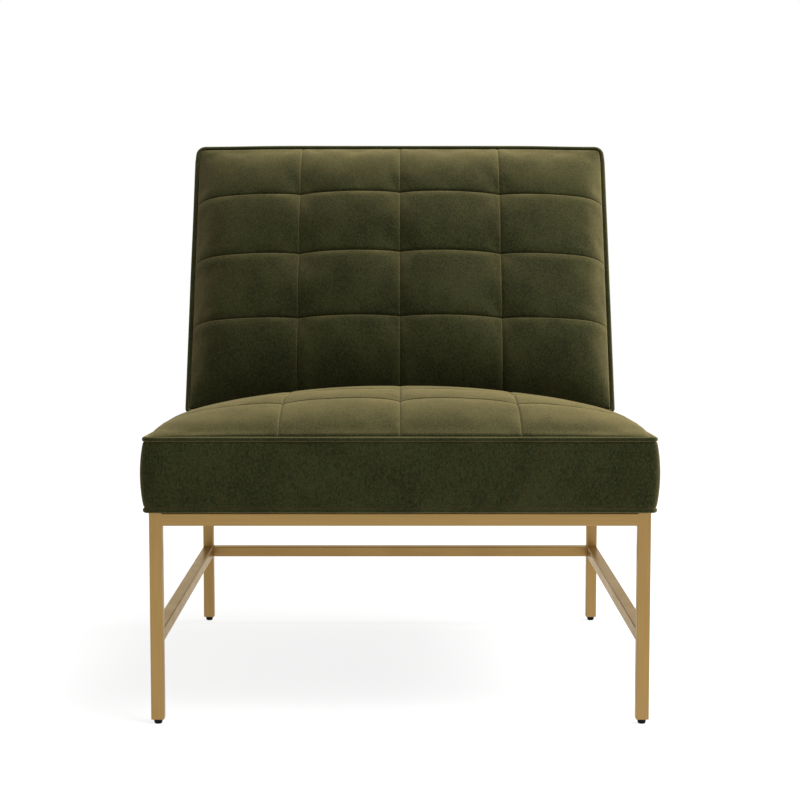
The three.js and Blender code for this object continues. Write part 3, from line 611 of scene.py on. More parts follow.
def boxing(name, packed, lows, highs, normals, bulge, thickness, place, closed):
    """Padded band between two cords: bulged outside, flat against the boards inside."""
    shares = 0.5 - 0.5 * np.cos(np.linspace(0, math.pi, 25))
    count = len(lows)
    swell = smooth_noise(count, width=12, size=0.6)
    pucker = smooth_noise(count, width=2, size=0.35)
    points = []
    for index in range(count):
        low, high, normal = lows[index], highs[index], normals[index]
        span = np.linalg.norm(high - low)
        edge = COVER_INSET / span
        row = []
        for share in shares:
            at = edge + (1 - 2 * edge) * share
            fullness = math.sin(math.pi * at) ** BAND_FULLNESS
            distance = min(share, 1 - share) * span
            reach = BAND_OUT + (bulge + swell[index]) * fullness
            reach += pucker[index] * math.exp(-distance / PUCKER_REACH)
            reach -= BAND_TUCK * math.exp(-distance / TUCK_REACH)
            row.append(low + (high - low) * at + normal * reach)
        for at in (1 - edge, 0.5, edge):
            row.append(low + (high - low) * at - normal * thickness)
        points.extend(row)
    faces = sweep_faces(count, len(shares) + 3, closed)
    add_piece(name, place(points), faces, lit_band_velvet, packed)


# Finishes


def new_group(name, inputs, outputs):
    group = bpy.data.node_groups.new(name, "ShaderNodeTree")
    for label, kind, value in inputs:
        socket = group.interface.new_socket(label, in_out="INPUT", socket_type=kind)
        socket.default_value = value
    for label, kind in outputs:
        group.interface.new_socket(label, in_out="OUTPUT", socket_type=kind)
    entry = group.nodes.new("NodeGroupInput")
    leave = group.nodes.new("NodeGroupOutput")
    return group, entry, leave


def node(tree, kind, **values):
    """A shader node with its settings. A key that names an input socket sets that input."""
    made = tree.nodes.new(kind)
    for key, value in values.items():
        if key in made.inputs:
            made.inputs[key].default_value = value
        else:
            setattr(made, key, value)
    return made


def feed(tree, socket, value):
    """Links another node's output to a socket, or sets the socket to a plain value."""
    if isinstance(value, bpy.types.NodeSocket):
        tree.links.new(value, socket)
    else:
        socket.default_value = value


def feed_inputs(tree, made, values):
    for label, value in values.items():
        feed(tree, made.inputs[label], value)


def ramp(tree, source, stops):
    made = tree.nodes.new("ShaderNodeValToRGB")
    elements = made.color_ramp.elements
    elements[0].position, elements[0].color = stops[0]
    elements[1].position, elements[1].color = stops[-1]
    for position, colour in stops[1:-1]:
        elements.new(position).color = colour
    feed(tree, made.inputs["Fac"], source)
    return made.outputs["Color"]


def math_node(tree, operation, first, second, clamp=False):
    made = node(tree, "ShaderNodeMath", operation=operation, use_clamp=clamp)
    for socket, value in zip(made.inputs, (first, second)):
        feed(tree, socket, value)
    return made.outputs["Value"]


def blend_colours(tree, factor, first, second):
    """Mix of two colours. Each may be a plain colour or another node's output."""
    mix = node(tree, "ShaderNodeMix", data_type="RGBA")
    feed_inputs(tree, mix, {0: factor, 6: first, 7: second})
    return mix.outputs[2]


def spread_out(tree, value, low, high, to_low=0.0, to_high=1.0):
    """Stretches the middle of a pattern's values over a wider range."""
    spread = node(tree, "ShaderNodeMapRange")
    limits = {"From Min": low, "From Max": high, "To Min": to_low, "To Max": to_high}
    feed_inputs(tree, spread, {"Value": value, **limits})
    return spread.outputs["Result"]


def weighted_sum(tree, parts):
    """Sum of outputs, each times its weight."""
    total = 0.0
    for value, weight in parts:
        total = math_node(tree, "ADD", math_node(tree, "MULTIPLY", value, weight), total)
    return total


def stretched_noise(tree, place, stretch, detail):
    mapping = node(tree, "ShaderNodeVectorMath", operation="MULTIPLY")
    noise = node(tree, "ShaderNodeTexNoise", Scale=1.0, Roughness=0.6)
    feed_inputs(tree, mapping, {0: place, 1: stretch})
    feed_inputs(tree, noise, {"Vector": mapping.outputs["Vector"], "Detail": detail})
    return noise.outputs["Fac"]


# Colours in linear light, and the sheen painted into the velvet's colour, light and brown at a slant
DEEP_OLIVE = (0.0108, 0.0145, 0.0043, 1)
OLIVE = (0.043, 0.048, 0.0155, 1)
WARM_OLIVE = (0.036, 0.029, 0.0105, 1)
# Painted sheen: colour mixed into the velvet's base colour where it is seen at a slant
PAINTED_SHEEN_COLOUR = (0.238, 0.194, 0.078, 1)
PAINTED_SHEEN_POWER = 1.6
PAINTED_SHEEN_LEAST = 0.34
PAINTED_SHEEN_MOST = 1.60
VELVET_SHEEN = (0.74, 0.67, 0.42, 1)
# Lighter copy of the velvet's colours for the upright bands between the cords: painted light
LIT_BAND_DEEP = (0.0130, 0.0175, 0.0054, 1)
LIT_BAND_LIGHT = (0.0490, 0.0560, 0.0185, 1)
# The cords' velvet: greener, and made lighter as painted light against the shade beside the cords, with a
# stronger painted sheen at their edges
GREEN_LIT_WELT_DEEP = (0.014, 0.019, 0.0064, 1)
GREEN_LIT_WELT_LIGHT = (0.040, 0.049, 0.0165, 1)
WELT_PAINTED_SHEEN = (0.31, 0.255, 0.105, 1)
BRASS = (0.345, 0.221, 0.0815, 1)
BRASS_DARK = (0.293, 0.1825, 0.0660, 1)
BRASS_ROUGHNESS = 0.33
BRUSHED = {"upright": (900.0, 900.0, 14.0), "across": (14.0, 900.0, 900.0), "along": (900.0, 14.0, 900.0)}
METAL_EDGE = (0.88, 0.82, 0.70, 1)
ZINC = (0.55, 0.56, 0.58, 1)
ZINC_DARK = (0.38, 0.39, 0.41, 1)
BLACK_PLASTIC = (0.006, 0.006, 0.006, 1)
BLACK_PLASTIC_DARK = (0.004, 0.004, 0.004, 1)
PLY = (0.55, 0.36, 0.19, 1)
PLY_SIDE_DARK = (0.40, 0.25, 0.12, 1)
PLY_ACROSS_DARK = (0.42, 0.26, 0.13, 1)
FOAM = (0.78, 0.70, 0.46, 1)
FOAM_PIT_SHADE = (0.55, 0.47, 0.28, 1)
JUTE = (0.085, 0.07, 0.052, 1)
JUTE_GAP_SHADE = (0.03, 0.024, 0.018, 1)
LINING = (0.014, 0.013, 0.012, 1)
LINING_GAP_SHADE = (0.006, 0.006, 0.006, 1)


def even(value):
    """The same stretch along all three axes."""
    return (value, value, value)


def pile_group():
    """Cut pile: short streaks of the ground weave, mottled hue and broad patches where the pile leans, which
    set how strongly the painted sheen shows.
    """
    tree, entry, leave = new_group(
        "pile",
        [(label, "NodeSocketColor", OLIVE) for label in ("Deep", "Light", "Warm")],
        [("Colour", "NodeSocketColor"), ("SheenPatches", "NodeSocketFloat"), ("Height", "NodeSocketFloat"),
         ("Rough", "NodeSocketFloat")],
    )
    place = node(tree, "ShaderNodeTexCoord").outputs["Object"]
    streak = stretched_noise(tree, place, (450.0, 450.0, 240.0), 3.0)
    hue = stretched_noise(tree, place, (210.0, 210.0, 120.0), 2.0)
    patch = stretched_noise(tree, place, (16.0, 16.0, 11.0), 3.0)
    grain = stretched_noise(tree, place, even(640.0), 1.0)
    tone = weighted_sum(tree, ((streak, 0.45), (patch, 0.25), (grain, 0.3)))
    light_share = spread_out(tree, tone, 0.43, 0.57)
    colour = blend_colours(tree, light_share, entry.outputs["Deep"], entry.outputs["Light"])
    warm_share = spread_out(tree, hue, 0.42, 0.62, 0.0, 0.45)
    colour = blend_colours(tree, warm_share, colour, entry.outputs["Warm"])
    feed_inputs(tree, leave, {
        "Colour": colour,
        "SheenPatches": spread_out(tree, tone, 0.3, 0.7),
        "Height": math_node(tree, "ADD", grain, streak),
        "Rough": spread_out(tree, streak, 0.2, 0.8, 0.75, 0.95),
    })
    return tree


def streak_group():
    """Long fine lines along one direction: brushed metal, wood grain, extruded plastic."""
    tree, entry, leave = new_group(
        "streaks",
        [("Stretch", "NodeSocketVector", (200.0, 200.0, 3.0)), ("Detail", "NodeSocketFloat", 5.0)],
        [("Lines", "NodeSocketFloat"), ("Clouds", "NodeSocketFloat")],
    )
    place = node(tree, "ShaderNodeTexCoord").outputs["Object"]
    lines = stretched_noise(tree, place, entry.outputs["Stretch"], entry.outputs["Detail"])
    clouds = node(tree, "ShaderNodeTexNoise", Scale=22.0, Detail=4.0)
    feed(tree, clouds.inputs["Vector"], place)
    feed_inputs(tree, leave, {"Lines": lines, "Clouds": clouds.outputs["Fac"]})
    return tree


def weave_group():
    """Plain weave of threads over and under, as height and as a mask of the gaps, where shade is painted."""
    tree, entry, leave = new_group(
        "weave",
        [("Threads", "NodeSocketVector", even(700.0))],
        [("Height", "NodeSocketFloat"), ("GapShade", "NodeSocketFloat")],
    )
    place = node(tree, "ShaderNodeTexCoord")
    mapping = node(tree, "ShaderNodeVectorMath", operation="MULTIPLY")
    feed_inputs(tree, mapping, {0: place.outputs["Object"], 1: entry.outputs["Threads"]})
    parts = node(tree, "ShaderNodeSeparateXYZ")
    feed(tree, parts.inputs["Vector"], mapping.outputs["Vector"])
    waves = [math_node(tree, "SINE", parts.outputs[axis], 0.0) for axis in "XYZ"]
    crossing = weighted_sum(tree, ((waves[0], waves[1]), (waves[1], waves[2])))
    feed_inputs(tree, leave, {"Height": crossing, "GapShade": spread_out(tree, crossing, -0.4, 0.4)})
    return tree


pile = pile_group()
streaks = streak_group()
weave = weave_group()


def new_material(name):
    material = bpy.data.materials.new(name)
    material.use_nodes = True
    shader = material.node_tree.nodes["Principled BSDF"]
    return material, material.node_tree, shader


def use_group(tree, group, **values):
    made = tree.nodes.new("ShaderNodeGroup")
    made.node_tree = group
    for key, value in values.items():
        made.inputs[key].default_value = value
    return made


def add_bump(tree, shader, height, strength, distance):
    bump = node(tree, "ShaderNodeBump", Strength=strength, Distance=distance)
    feed(tree, bump.inputs["Height"], height)
    feed(tree, shader.inputs["Normal"], bump.outputs["Normal"])


def velvet_material(name, deep, light, warm, painted_sheen, sheen_weight):
    """Velvet: dark where it is seen end on, and lighter and browner where it is seen from the side, a sheen
    painted into the base colour by the viewing angle.
    """
    material, tree, shader = new_material(name)
    look = use_group(tree, pile, Deep=deep, Light=light, Warm=warm)
    # Painted sheen: the viewing angle mixes a light brown into the base colour
    facing = node(tree, "ShaderNodeLayerWeight", Blend=0.5).outputs["Facing"]
    side_on = math_node(tree, "POWER", facing, PAINTED_SHEEN_POWER)
    sheen_patches = spread_out(tree, look.outputs["SheenPatches"], 0.0, 1.0, PAINTED_SHEEN_LEAST, PAINTED_SHEEN_MOST)
    painted_sheen_share = math_node(tree, "MULTIPLY", side_on, sheen_patches, clamp=True)
    feed_inputs(tree, shader, {
        "Base Color": blend_colours(tree, painted_sheen_share, look.outputs["Colour"], painted_sheen),
        "Roughness": look.outputs["Rough"],
        "Specular IOR Level": 0.08,
        "Sheen Weight": sheen_weight,
        "Sheen Roughness": 0.45,
        "Sheen Tint": VELVET_SHEEN,
    })
    add_bump(tree, shader, look.outputs["Height"], 0.35, 0.0006)
    return material


def cloudy(tree, look, low, high):
    """Value between two limits, by the clouds of a streaks group."""
    return spread_out(tree, look.outputs["Clouds"], 0.0, 1.0, low, high)


def metal_material(name, base, dark, stretch, roughness):
    material, tree, shader = new_material(name)
    look = use_group(tree, streaks, Stretch=stretch, Detail=6.0)
    colour = ramp(tree, look.outputs["Lines"], [(0.3, dark), (0.7, base)])
    feed_inputs(tree, shader, {
        "Base Color": colour,
        "Metallic": 1.0,
        "Specular Tint": METAL_EDGE,
        "Roughness": cloudy(tree, look, roughness - 0.07, roughness + 0.09),
    })
    add_bump(tree, shader, look.outputs["Lines"], 0.12, 0.0002)
    return material


def grain_material(name, light, dark, stretch, roughness, strength, gloss=0.5):
    material, tree, shader = new_material(name)
    look = use_group(tree, streaks, Stretch=stretch, Detail=8.0)
    colour = ramp(tree, look.outputs["Lines"], [(0.25, dark), (0.5, light), (0.8, dark)])
    rough = cloudy(tree, look, roughness - 0.1, roughness + 0.1)
    feed_inputs(tree, shader, {"Base Color": colour, "Roughness": rough, "Specular IOR Level": gloss})
    add_bump(tree, shader, look.outputs["Lines"], strength, 0.0004)
    return material


def woven_material(name, light, dark, threads, roughness):
    material, tree, shader = new_material(name)
    look = use_group(tree, weave, Threads=threads)
    # Painted shade in the gaps between the threads
    colour = ramp(tree, look.outputs["GapShade"], [(0.1, dark), (0.9, light)])
    feed_inputs(tree, shader, {"Base Color": colour, "Roughness": roughness, "Specular IOR Level": 0.2})
    add_bump(tree, shader, look.outputs["Height"], 0.5, 0.0005)
    return material


def cell_material(name, light, dark):
    """Open-cell foam: small pits with painted shade in them, and broad yellowing."""
    material, tree, shader = new_material(name)
    place = node(tree, "ShaderNodeTexCoord")
    cells = node(tree, "ShaderNodeTexVoronoi", Scale=420.0)
    feed(tree, cells.inputs["Vector"], place.outputs["Object"])
    # Painted shade: darker in the small pits
    colour = ramp(tree, cells.outputs["Distance"], [(0.05, dark), (0.45, light)])
    feed_inputs(tree, shader, {"Base Color": colour, "Roughness": 0.95})
    add_bump(tree, shader, cells.outputs["Distance"], 0.6, 0.001)
    return material


velvet = velvet_material("olive_velvet", DEEP_OLIVE, OLIVE, WARM_OLIVE, PAINTED_SHEEN_COLOUR, 0.18)
# The bands' velvet: a lighter copy of the velvet, painted light
lit_band_velvet = velvet_material("lit_band_velvet", LIT_BAND_DEEP, LIT_BAND_LIGHT, WARM_OLIVE, PAINTED_SHEEN_COLOUR, 0.12)
# The cords' velvet: a greener, lighter copy with a stronger painted sheen
lit_welt_velvet = velvet_material("lit_cord_velvet", GREEN_LIT_WELT_DEEP, GREEN_LIT_WELT_LIGHT, WARM_OLIVE, WELT_PAINTED_SHEEN, 0.12)
brass_upright, brass_across, brass_along = [
    metal_material(f"satin_brass_{way}", BRASS, BRASS_DARK, stretch, BRASS_ROUGHNESS)
    for way, stretch in BRUSHED.items()
]
zinc = metal_material("zinc_screws", ZINC, ZINC_DARK, even(300.0), 0.4)
glide_plastic = grain_material(
    "glide_plastic", BLACK_PLASTIC, BLACK_PLASTIC_DARK, even(300.0), 0.6, 0.1, gloss=0.12
)
ply_side = grain_material("plywood_side", PLY, PLY_SIDE_DARK, (700.0, 6.0, 60.0), 0.7, 0.2)
ply_across = grain_material("plywood_across", PLY, PLY_ACROSS_DARK, (6.0, 700.0, 60.0), 0.7, 0.2)
foam_cells = cell_material("foam_cells", FOAM, FOAM_PIT_SHADE)
webbing_weave = woven_material("webbing_weave", JUTE, JUTE_GAP_SHADE, even(1500.0), 0.85)
lining_cloth = woven_material("lining_cloth", LINING, LINING_GAP_SHADE, even(2600.0), 0.9)

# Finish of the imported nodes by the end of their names. The first that fits counts.
FINISHES = [
    (("_leg",), brass_upright),
    (("front_rail", "rear_rail", "rear_stretcher", "_seat_tab"), brass_across),
    (("_side_rail", "_stretcher"), brass_along),
    (("_glide",), glide_plastic),
    (("_seat_screw",), zinc),
    (("_side_panel",), ply_side),
    (("_board", "_rail", "_block"), ply_across),
    (("foam",), foam_cells),
    (("dust_cover",), lining_cloth),
    (("_welt",), lit_welt_velvet),
    (("_boxing",), lit_band_velvet),
    (("_tufted_cover", "_rear_panel"), velvet),
]


def finish_of(name):
    if "_strap_" in name:
        return webbing_weave
    return next(finish for endings, finish in FINISHES if name.endswith(endings))


def finish_nodes():
    for name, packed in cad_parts.items():
        packed.data.materials.clear()
        packed.data.materials.append(finish_of(name))


# The chair


def make_seat(back_pieces):
    x, y, top = cushion_top(
        "seat_cushion", SEAT_COLUMNS, SEAT_ROWS, seat_height, SEAT_SEWING, seat_softness,
        corners=(SEAT_CORNER, SEAT_CORNER), pressure=FILLING_PRESSURE, limit=SEAT_FILLING_MOVE,
    )
    pressed_under(top, back_pieces)
    cushion("seat_cushion", "seat_tufted_cover", x, y, top, seat_foam_height, seat_place)
    limits = (BOARD_HALF_WIDTH, BOARD_FRONT, SEAT_END)
    foam_block("seat_foam_block", "seat_foam", *limits, seat_foam_height, FOAM_BOTTOM, seat_place, radius=4.0)
    half = SEAT_HALF_WIDTH + SEAT_CORD_PROUD
    stations = loop_stations(half, SEAT_FRONT, SEAT_REAR, SEAT_CORNER, SEAT_CORNER)
    cord_round("seat_upper_cord", "seat_upper_welt", stations, seat_edge, seat_place)
    cord_round("seat_lower_cord", "seat_lower_welt", stations, lambda y: SEAT_LOW_CORD, seat_place)
    lows = raised(stations[:, :2], SEAT_LOW_CORD)
    highs = raised(stations[:, :2], seat_edge(stations[:, 1]))
    normals = raised(stations[:, 2:], 0.0)
    sizes = (SEAT_BULGE, SEAT_BAND_THICKNESS)
    boxing("seat_band", "seat_boxing", lows, highs, normals, *sizes, seat_place, closed=True)


def into_back(y, z):
    """Rise and distance out of the back for a place beside the seat."""
    behind, above = y - BACK_FOOT_Y, z - BACK_FOOT_Z
    rise = behind * math.sin(BACK_LEAN) + above * math.cos(BACK_LEAN)
    return rise, above * math.sin(BACK_LEAN) - behind * math.cos(BACK_LEAN)


REAR_FOOT_RISE, REAR_FOOT_OUT = into_back(SEAT_REAR, seat_edge(SEAT_REAR) + COVER_INSET)
REAR_TURN = math.atan2(-BACK_THICKNESS - REAR_FOOT_OUT, BACK_HIGH - REAR_FOOT_RISE)
REAR_HIGH = (BACK_HIGH - REAR_FOOT_RISE) / math.cos(REAR_TURN)


def rear_place(points):
    """Places on the rear plane (across, up, out to the sitter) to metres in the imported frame."""
    points = np.asarray(points, dtype=float)
    rise = REAR_FOOT_RISE + points[..., 1] * math.cos(REAR_TURN) - points[..., 2] * math.sin(REAR_TURN)
    out = REAR_FOOT_OUT + points[..., 1] * math.sin(REAR_TURN) + points[..., 2] * math.cos(REAR_TURN)
    return back_place(np.stack([points[..., 0], rise, out], axis=-1))


def make_back():
    corners = (BACK_LOW_CORNER, BACK_CORNER)
    x, y, top = cushion_top(
        "back_cushion", BACK_COLUMNS, BACK_ROWS, back_height, BACK_SEWING, np.ones_like,
        corners=corners, pressure=FILLING_PRESSURE, limit=BACK_FILLING_MOVE,
    )
    top[..., 0], top[..., 1] = eased(top[..., 0], top[..., 1], BACK_HIGH)
    cover = cushion("back_cushion", "back_tufted_cover", x, y, top, back_foam_height, back_place)
    limits = (BOARD_HALF_WIDTH, BACK_LOW + BOARD_CLEARANCE, BACK_HIGH - BOARD_CLEARANCE)
    bottom = -BACK_FOAM_THICKNESS
    foam_block("back_foam_block", "back_foam", *limits, back_foam_height, bottom, back_place, radius=5.0)
    front = loop_stations(BACK_HALF_WIDTH + BACK_CORD_PROUD, BACK_LOW, BACK_HIGH, *corners)
    front = eased_stations(front, BACK_HIGH)
    cord = cord_round("back_front_cord", "back_front_welt", front, lambda y: 0.0, back_place)
    rear = eased_stations(loop_stations(BACK_HALF_WIDTH, BACK_LOW, REAR_HIGH, *corners), REAR_HIGH)
    cord_round("back_rear_cord", "back_rear_welt", rear, lambda y: 0.0, rear_place)
    make_back_band()
    make_rear_panel()
    return [cover, cord]


def make_back_band():
    """Band up the right side, over the top and down the left side of the back."""
    top = eased_stations(upper_stations(BACK_HIGH), BACK_HIGH)
    bottom = eased_stations(upper_stations(REAR_HIGH), REAR_HIGH)
    highs = raised(top[:, :2], 0.0)
    normals = raised(top[:, 2:], 0.0)
    rise = REAR_FOOT_RISE + bottom[:, 1] * math.cos(REAR_TURN)
    out = REAR_FOOT_OUT + bottom[:, 1] * math.sin(REAR_TURN)
    lows = np.stack([bottom[:, 0], rise, out], axis=-1)
    sizes = (BACK_BULGE, BACK_BAND_THICKNESS)
    boxing("back_band", "back_boxing", lows, highs, normals, *sizes, back_place, closed=False)


def upper_stations(high, side_steps=32, top_steps=48):
    """Stations of an upside-down U in the same number of steps, whatever its height."""
    half, radius = BACK_HALF_WIDTH, BACK_CORNER
    side, reach = high - radius, half - radius
    made = [(half, side * step / side_steps, 1.0, 0.0) for step in range(side_steps)]
    made += corner_stations((reach, side), radius, 0)
    made += [(reach - 2 * reach * step / top_steps, high, 0.0, 1.0) for step in range(1, top_steps)]
    made += corner_stations((-reach, side), radius, 90)
    steps = range(1, side_steps + 1)
    return made + [(-half, side * (1 - step / side_steps), -1.0, 0.0) for step in steps]


def make_rear_panel():
    half = BACK_COVER_HALF
    low, high = BACK_LOW + COVER_INSET, REAR_HIGH - COVER_INSET
    x, y = np.meshgrid(np.linspace(-half, half, 61), np.linspace(low, high, 41))
    middle = (low + high) / 2
    crown = REAR_CROWN * crown_share(x, half, 2, 1) * crown_share(y - middle, (high - low) / 2, 2, 1)
    px, py = rounded(x, y, half, low, high, BACK_CORNER - CORNER_LOSS)
    px, py = eased(px, py, REAR_HIGH)
    rear = np.stack([px, py, -crown - REAR_CLOTH_OUT], axis=-1)
    inner = np.stack([px, py, np.full_like(x, CORD_RADIUS)], axis=-1)
    points, faces = closed_grid(inner, rear)
    add_piece("back_rear_cloth", rear_place(points), faces, velvet, "back_rear_panel")


# Base: the ground welds at the ends of its rails and stretchers


def weld_bars():
    """Each bar of the base with the number of the axis that it runs along."""
    across = ["front_rail", "rear_rail", "rear_stretcher"]
    along = ["left_side_rail", "right_side_rail", "left_stretcher", "right_stretcher"]
    return [(name, 0) for name in across] + [(name, 1) for name in along]


def weld_section(end, side, face, turn):
    """Corner left open beside a leg's rounded edge: (along the bar, across the bar) places in metres."""
    radius = TUBE_EDGE_RADIUS * MM
    gap = WELD_GAP * MM
    section = [(end, face), (end + side * (gap + radius), face)]
    for step in range(1, 6):
        angle = math.pi / 2 * step / 6
        section.append((
            end + side * (gap + radius - radius * math.sin(angle)),
            face - turn * radius * (1 - math.cos(angle)),
        ))
    section.append((end + side * gap, face - turn * radius))
    section.append((end, face - turn * radius))
    return section


def make_ground_welds():
    points, faces = [], []
    for name, axis in weld_bars():
        low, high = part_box(name)
        bottom, top = low[2] + WELD_SET_BACK * MM, high[2] - WELD_SET_BACK * MM
        for side, end in ((-1, low[axis]), (1, high[axis])):
            for turn, face in ((-1, low[1 - axis]), (1, high[1 - axis])):
                section = weld_section(end, side, face, turn)
                count, base = len(section), len(points)
                for z in (bottom, top):
                    points += [(a, b, z) if axis == 0 else (b, a, z) for a, b in section]
                faces.append(tuple(base + step for step in range(count)))
                faces.append(tuple(base + count + step for step in reversed(range(count))))
                for step in range(count):
                    after = (step + 1) % count
                    faces.append((base + step, base + count + step, base + count + after, base + after))
    piece = add_piece("ground_welds", points, faces, brass_across)
    piece.data.polygons.foreach_set("use_smooth", [False] * len(piece.data.polygons))


# Hidden cloth: webbing and dust cloth


def strap_path(reach, crossings):
    """Places along a strap and its heights above the timber: it rises over each crossing strap."""
    under, over = TOUCH + STRAP_THICKNESS / 2, 2 * TOUCH + 1.5 * STRAP_THICKNESS
    path = [(-reach, under)]
    for place in crossings:
        for side in (-1, 1):
            ends = [(STRAP_WIDTH / 2 + STRAP_RAMP, under), (STRAP_WIDTH / 2 + TOUCH, over)]
            path += [(place + side * distance, height) for distance, height in ends[::-side]]
    return path + [(reach, under)]


def strap(name, packed, reach, crossings, shift, turned, place):
    """Jute strap with rolled selvedges, woven over and under the straps that cross it."""
    half, thin = STRAP_WIDTH / 2, STRAP_THICKNESS / 2
    selvedge = [(0.0, 0.0), (0.5, thin), (3, thin), (4, thin * 0.8)]
    ring = [(inward - half, up) for inward, up in selvedge]
    ring += [(half - inward, up) for inward, up in reversed(selvedge)]
    ring += [(across, -up) for across, up in ring[-2:0:-1]]
    path = strap_path(reach, crossings)
    points = []
    for along, height in path:
        for across, up in ring:
            flat = (shift + across, along) if turned else (along, shift + across)
            points.append((*flat, height + up))
    faces = sweep_faces(len(path), len(ring), False)
    add_piece(name, place(points), faces, webbing_weave, packed)


def strap_places(opening, count):
    return [opening / (count + 1) * (step + 1) - opening / 2 for step in range(count)]


def webbing(part, reaches, openings, counts, place):
    """Straps over an opening, in a plain weave. The first size is across, the second is along."""
    rows = strap_places(openings[1], counts[0])
    columns = strap_places(openings[0], counts[1])
    for row, shift in enumerate(rows):
        over = [column for step, column in enumerate(columns) if (row + step) % 2 == 0]
        node_name = f"{part}_cross_strap_{row + 1}"
        strap(f"{node_name}_weave", node_name, reaches[0], over, shift, False, place)
    for column, shift in enumerate(columns):
        over = [row for step, row in enumerate(rows) if (step + column) % 2 == 1]
        node_name = f"{part}_long_strap_{column + 1}"
        strap(f"{node_name}_weave", node_name, reaches[1], over, shift, True, place)


def make_webbing():
    side = 2 * (BOARD_HALF_WIDTH - BOARD_THICKNESS)
    reach = BOARD_HALF_WIDTH - STRAP_END_GAP
    middle = (BOARD_FRONT + SEAT_END) / 2
    shift = np.array([0, middle, BOARD_TOP])
    length = SEAT_END - BOARD_FRONT
    sizes = [reach, length / 2 - STRAP_END_GAP], [side, length - 2 * BOARD_THICKNESS]
    webbing("seat", *sizes, (3, 4), lambda points: seat_place(np.asarray(points) + shift))
    low, high = BACK_LOWER_RAIL_LOW, BACK_HIGH - BOARD_CLEARANCE
    lift = np.array([0, (low + high) / 2, BACK_BOARD_FRONT])
    opening = high - BOARD_THICKNESS - BACK_LOWER_RAIL_HIGH
    sizes = [reach, (high - low) / 2 - STRAP_END_GAP], [side, opening]
    webbing("back", *sizes, (2, 2), lambda points: back_place(np.asarray(points) + lift))


def make_dust_cloth():
    """Black cloth stapled under the seat. It hangs a little between its edges."""
    low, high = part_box("dust_cover")
    (x0, y0), (x1, y1) = low[:2], high[:2]
    shares = np.linspace(-1, 1, 57)
    u, v = np.meshgrid(shares, shares)
    loose = np.maximum(0, (1 - u**2) * (1 - v**2))
    sag = DUST_CLOTH_SAG * MM * loose**1.3
    ripple = DUST_CLOTH_RIPPLE * MM * np.sin(9 * u + 2 * v) * loose
    x, y = (x0 + x1) / 2 + u * (x1 - x0) / 2, (y0 + y1) / 2 + v * (y1 - y0) / 2
    top = np.stack([x, y, high[2] - sag + ripple], axis=-1)
    bottom = top - np.array([0, 0, DUST_CLOTH_THICKNESS * MM])
    points, faces = closed_grid(top, bottom)
    piece = add_piece("dust_cloth", points, faces, lining_cloth, "dust_cover")


# Stage, in metres

FLOOR_REACH = 4.6
FLOOR_PALE = (0.93, 0.93, 0.93, 1)
FLOOR_SEEN = (0.40, 0.40, 0.40, 1)
FLOOR_GLOW = 0.85
WHITE = (1, 1, 1, 1)
SOFT_LIGHT = 0.155
LAMP_PLACE = (1.7, -0.5, 3.2)
LAMP_AIM = (0, 0, 0.35)
LAMP_SIZE = (3.8, 3.3)
LAMP_POWER = 176
CAMERA_LENS = 83.59
CAMERA_AHEAD = 2.5474
CAMERA_HEIGHT = 0.6818
CAMERA_TILT = 0.0885


def seen_share(tree):
    """1 where the camera sees a surface, straight or in metal or glass, and 0 where it only lights others."""
    path = node(tree, "ShaderNodeLightPath")
    seen = math_node(tree, "MAXIMUM", path.outputs["Is Camera Ray"], path.outputs["Is Glossy Ray"])
    return math_node(tree, "MAXIMUM", seen, path.outputs["Is Transmission Ray"])


def pick_shader(tree, share, first, second):
    """Mix of two shader nodes, by the share of the second."""
    pick = node(tree, "ShaderNodeMixShader")
    feed_inputs(tree, pick, {0: share, 1: first.outputs[0], 2: second.outputs[0]})
    return pick


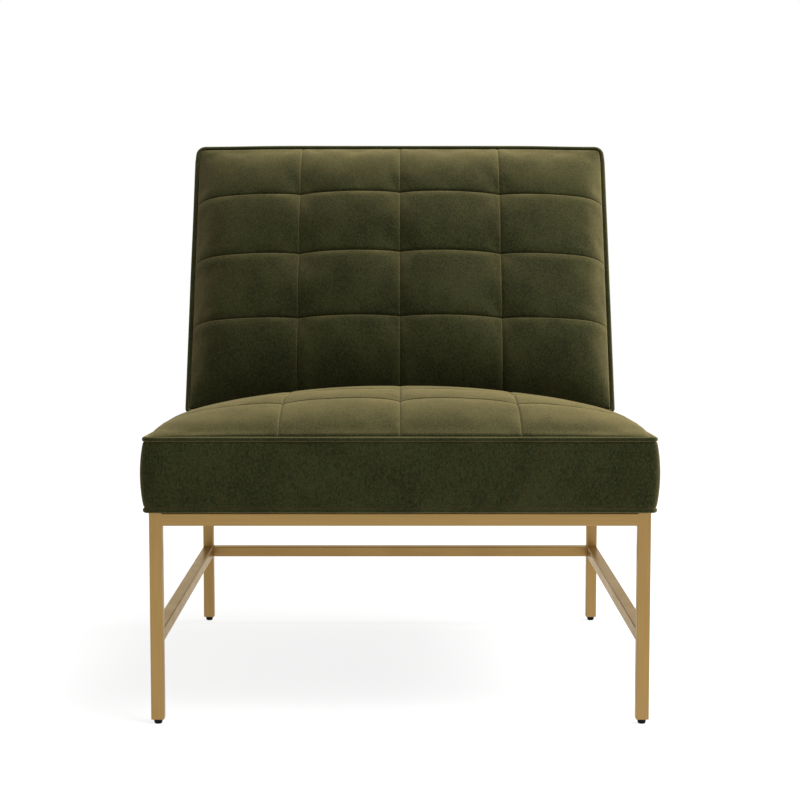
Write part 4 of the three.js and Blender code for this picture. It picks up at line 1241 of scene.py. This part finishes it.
def make_floor():
    """Pale floor. Where it is seen, a glow on a darker colour keeps it white around the chair's shadow."""
    mesh = bpy.data.meshes.new("floor")
    corners = [(-1, -1), (1, -1), (1, 1), (-1, 1)]
    mesh.from_pydata([(x * FLOOR_REACH, y * FLOOR_REACH, 0) for x, y in corners], [], [(0, 1, 2, 3)])
    floor = add_object("floor", mesh)
    material, tree, shader = new_material("pale_floor")
    seen = seen_share(tree)
    colour = blend_colours(tree, seen, FLOOR_PALE, FLOOR_SEEN)
    feed_inputs(tree, shader, {"Base Color": colour, "Roughness": 0.9, "Specular IOR Level": 0.1})
    dark, bright = [node(tree, "ShaderNodeEmission", Strength=strength) for strength in (0.0, FLOOR_GLOW)]
    glow = pick_shader(tree, seen, dark, bright)
    both = node(tree, "ShaderNodeAddShader")
    feed_inputs(tree, both, {0: shader.outputs["BSDF"], 1: glow.outputs["Shader"]})
    feed(tree, tree.nodes["Material Output"].inputs["Surface"], both.outputs["Shader"])
    mesh.materials.append(material)


def make_world():
    """Soft light from all round, and a white background where it is seen."""
    world = bpy.data.worlds.new("studio")
    bpy.context.scene.world = world
    world.use_nodes = True
    tree = world.node_tree
    tree.nodes.clear()
    soft = node(tree, "ShaderNodeBackground", Color=WHITE, Strength=SOFT_LIGHT)
    white = node(tree, "ShaderNodeBackground", Color=WHITE, Strength=1.0)
    light = pick_shader(tree, seen_share(tree), soft, white)
    out = node(tree, "ShaderNodeOutputWorld")
    feed(tree, out.inputs["Surface"], light.outputs["Shader"])


def make_lamp():
    """Wide lamp above the chair, a little in front of it and towards +X."""
    data = bpy.data.lights.new("overhead", "AREA")
    data.shape = "RECTANGLE"
    data.size, data.size_y = LAMP_SIZE
    data.energy = LAMP_POWER
    lamp = add_object("overhead", data)
    lamp.location = LAMP_PLACE
    direction = Vector(LAMP_AIM) - Vector(LAMP_PLACE)
    lamp.rotation_euler = direction.to_track_quat("-Z", "Y").to_euler()


def make_camera():
    data = bpy.data.cameras.new("camera")
    data.sensor_width = 36.0
    data.lens = CAMERA_LENS
    data.clip_end = 100
    camera = add_object("camera", data)
    camera.location = (0.0, FRONT_Y - CAMERA_AHEAD, CAMERA_HEIGHT)
    camera.rotation_euler = (math.pi / 2 - CAMERA_TILT, 0, 0)
    bpy.context.scene.camera = camera


make_camera()
make_world()
make_lamp()
make_floor()
finish_nodes()
make_seat(make_back())
make_webbing()
make_dust_cloth()
make_ground_welds()

bpy.context.scene.view_settings.view_transform = "Standard"
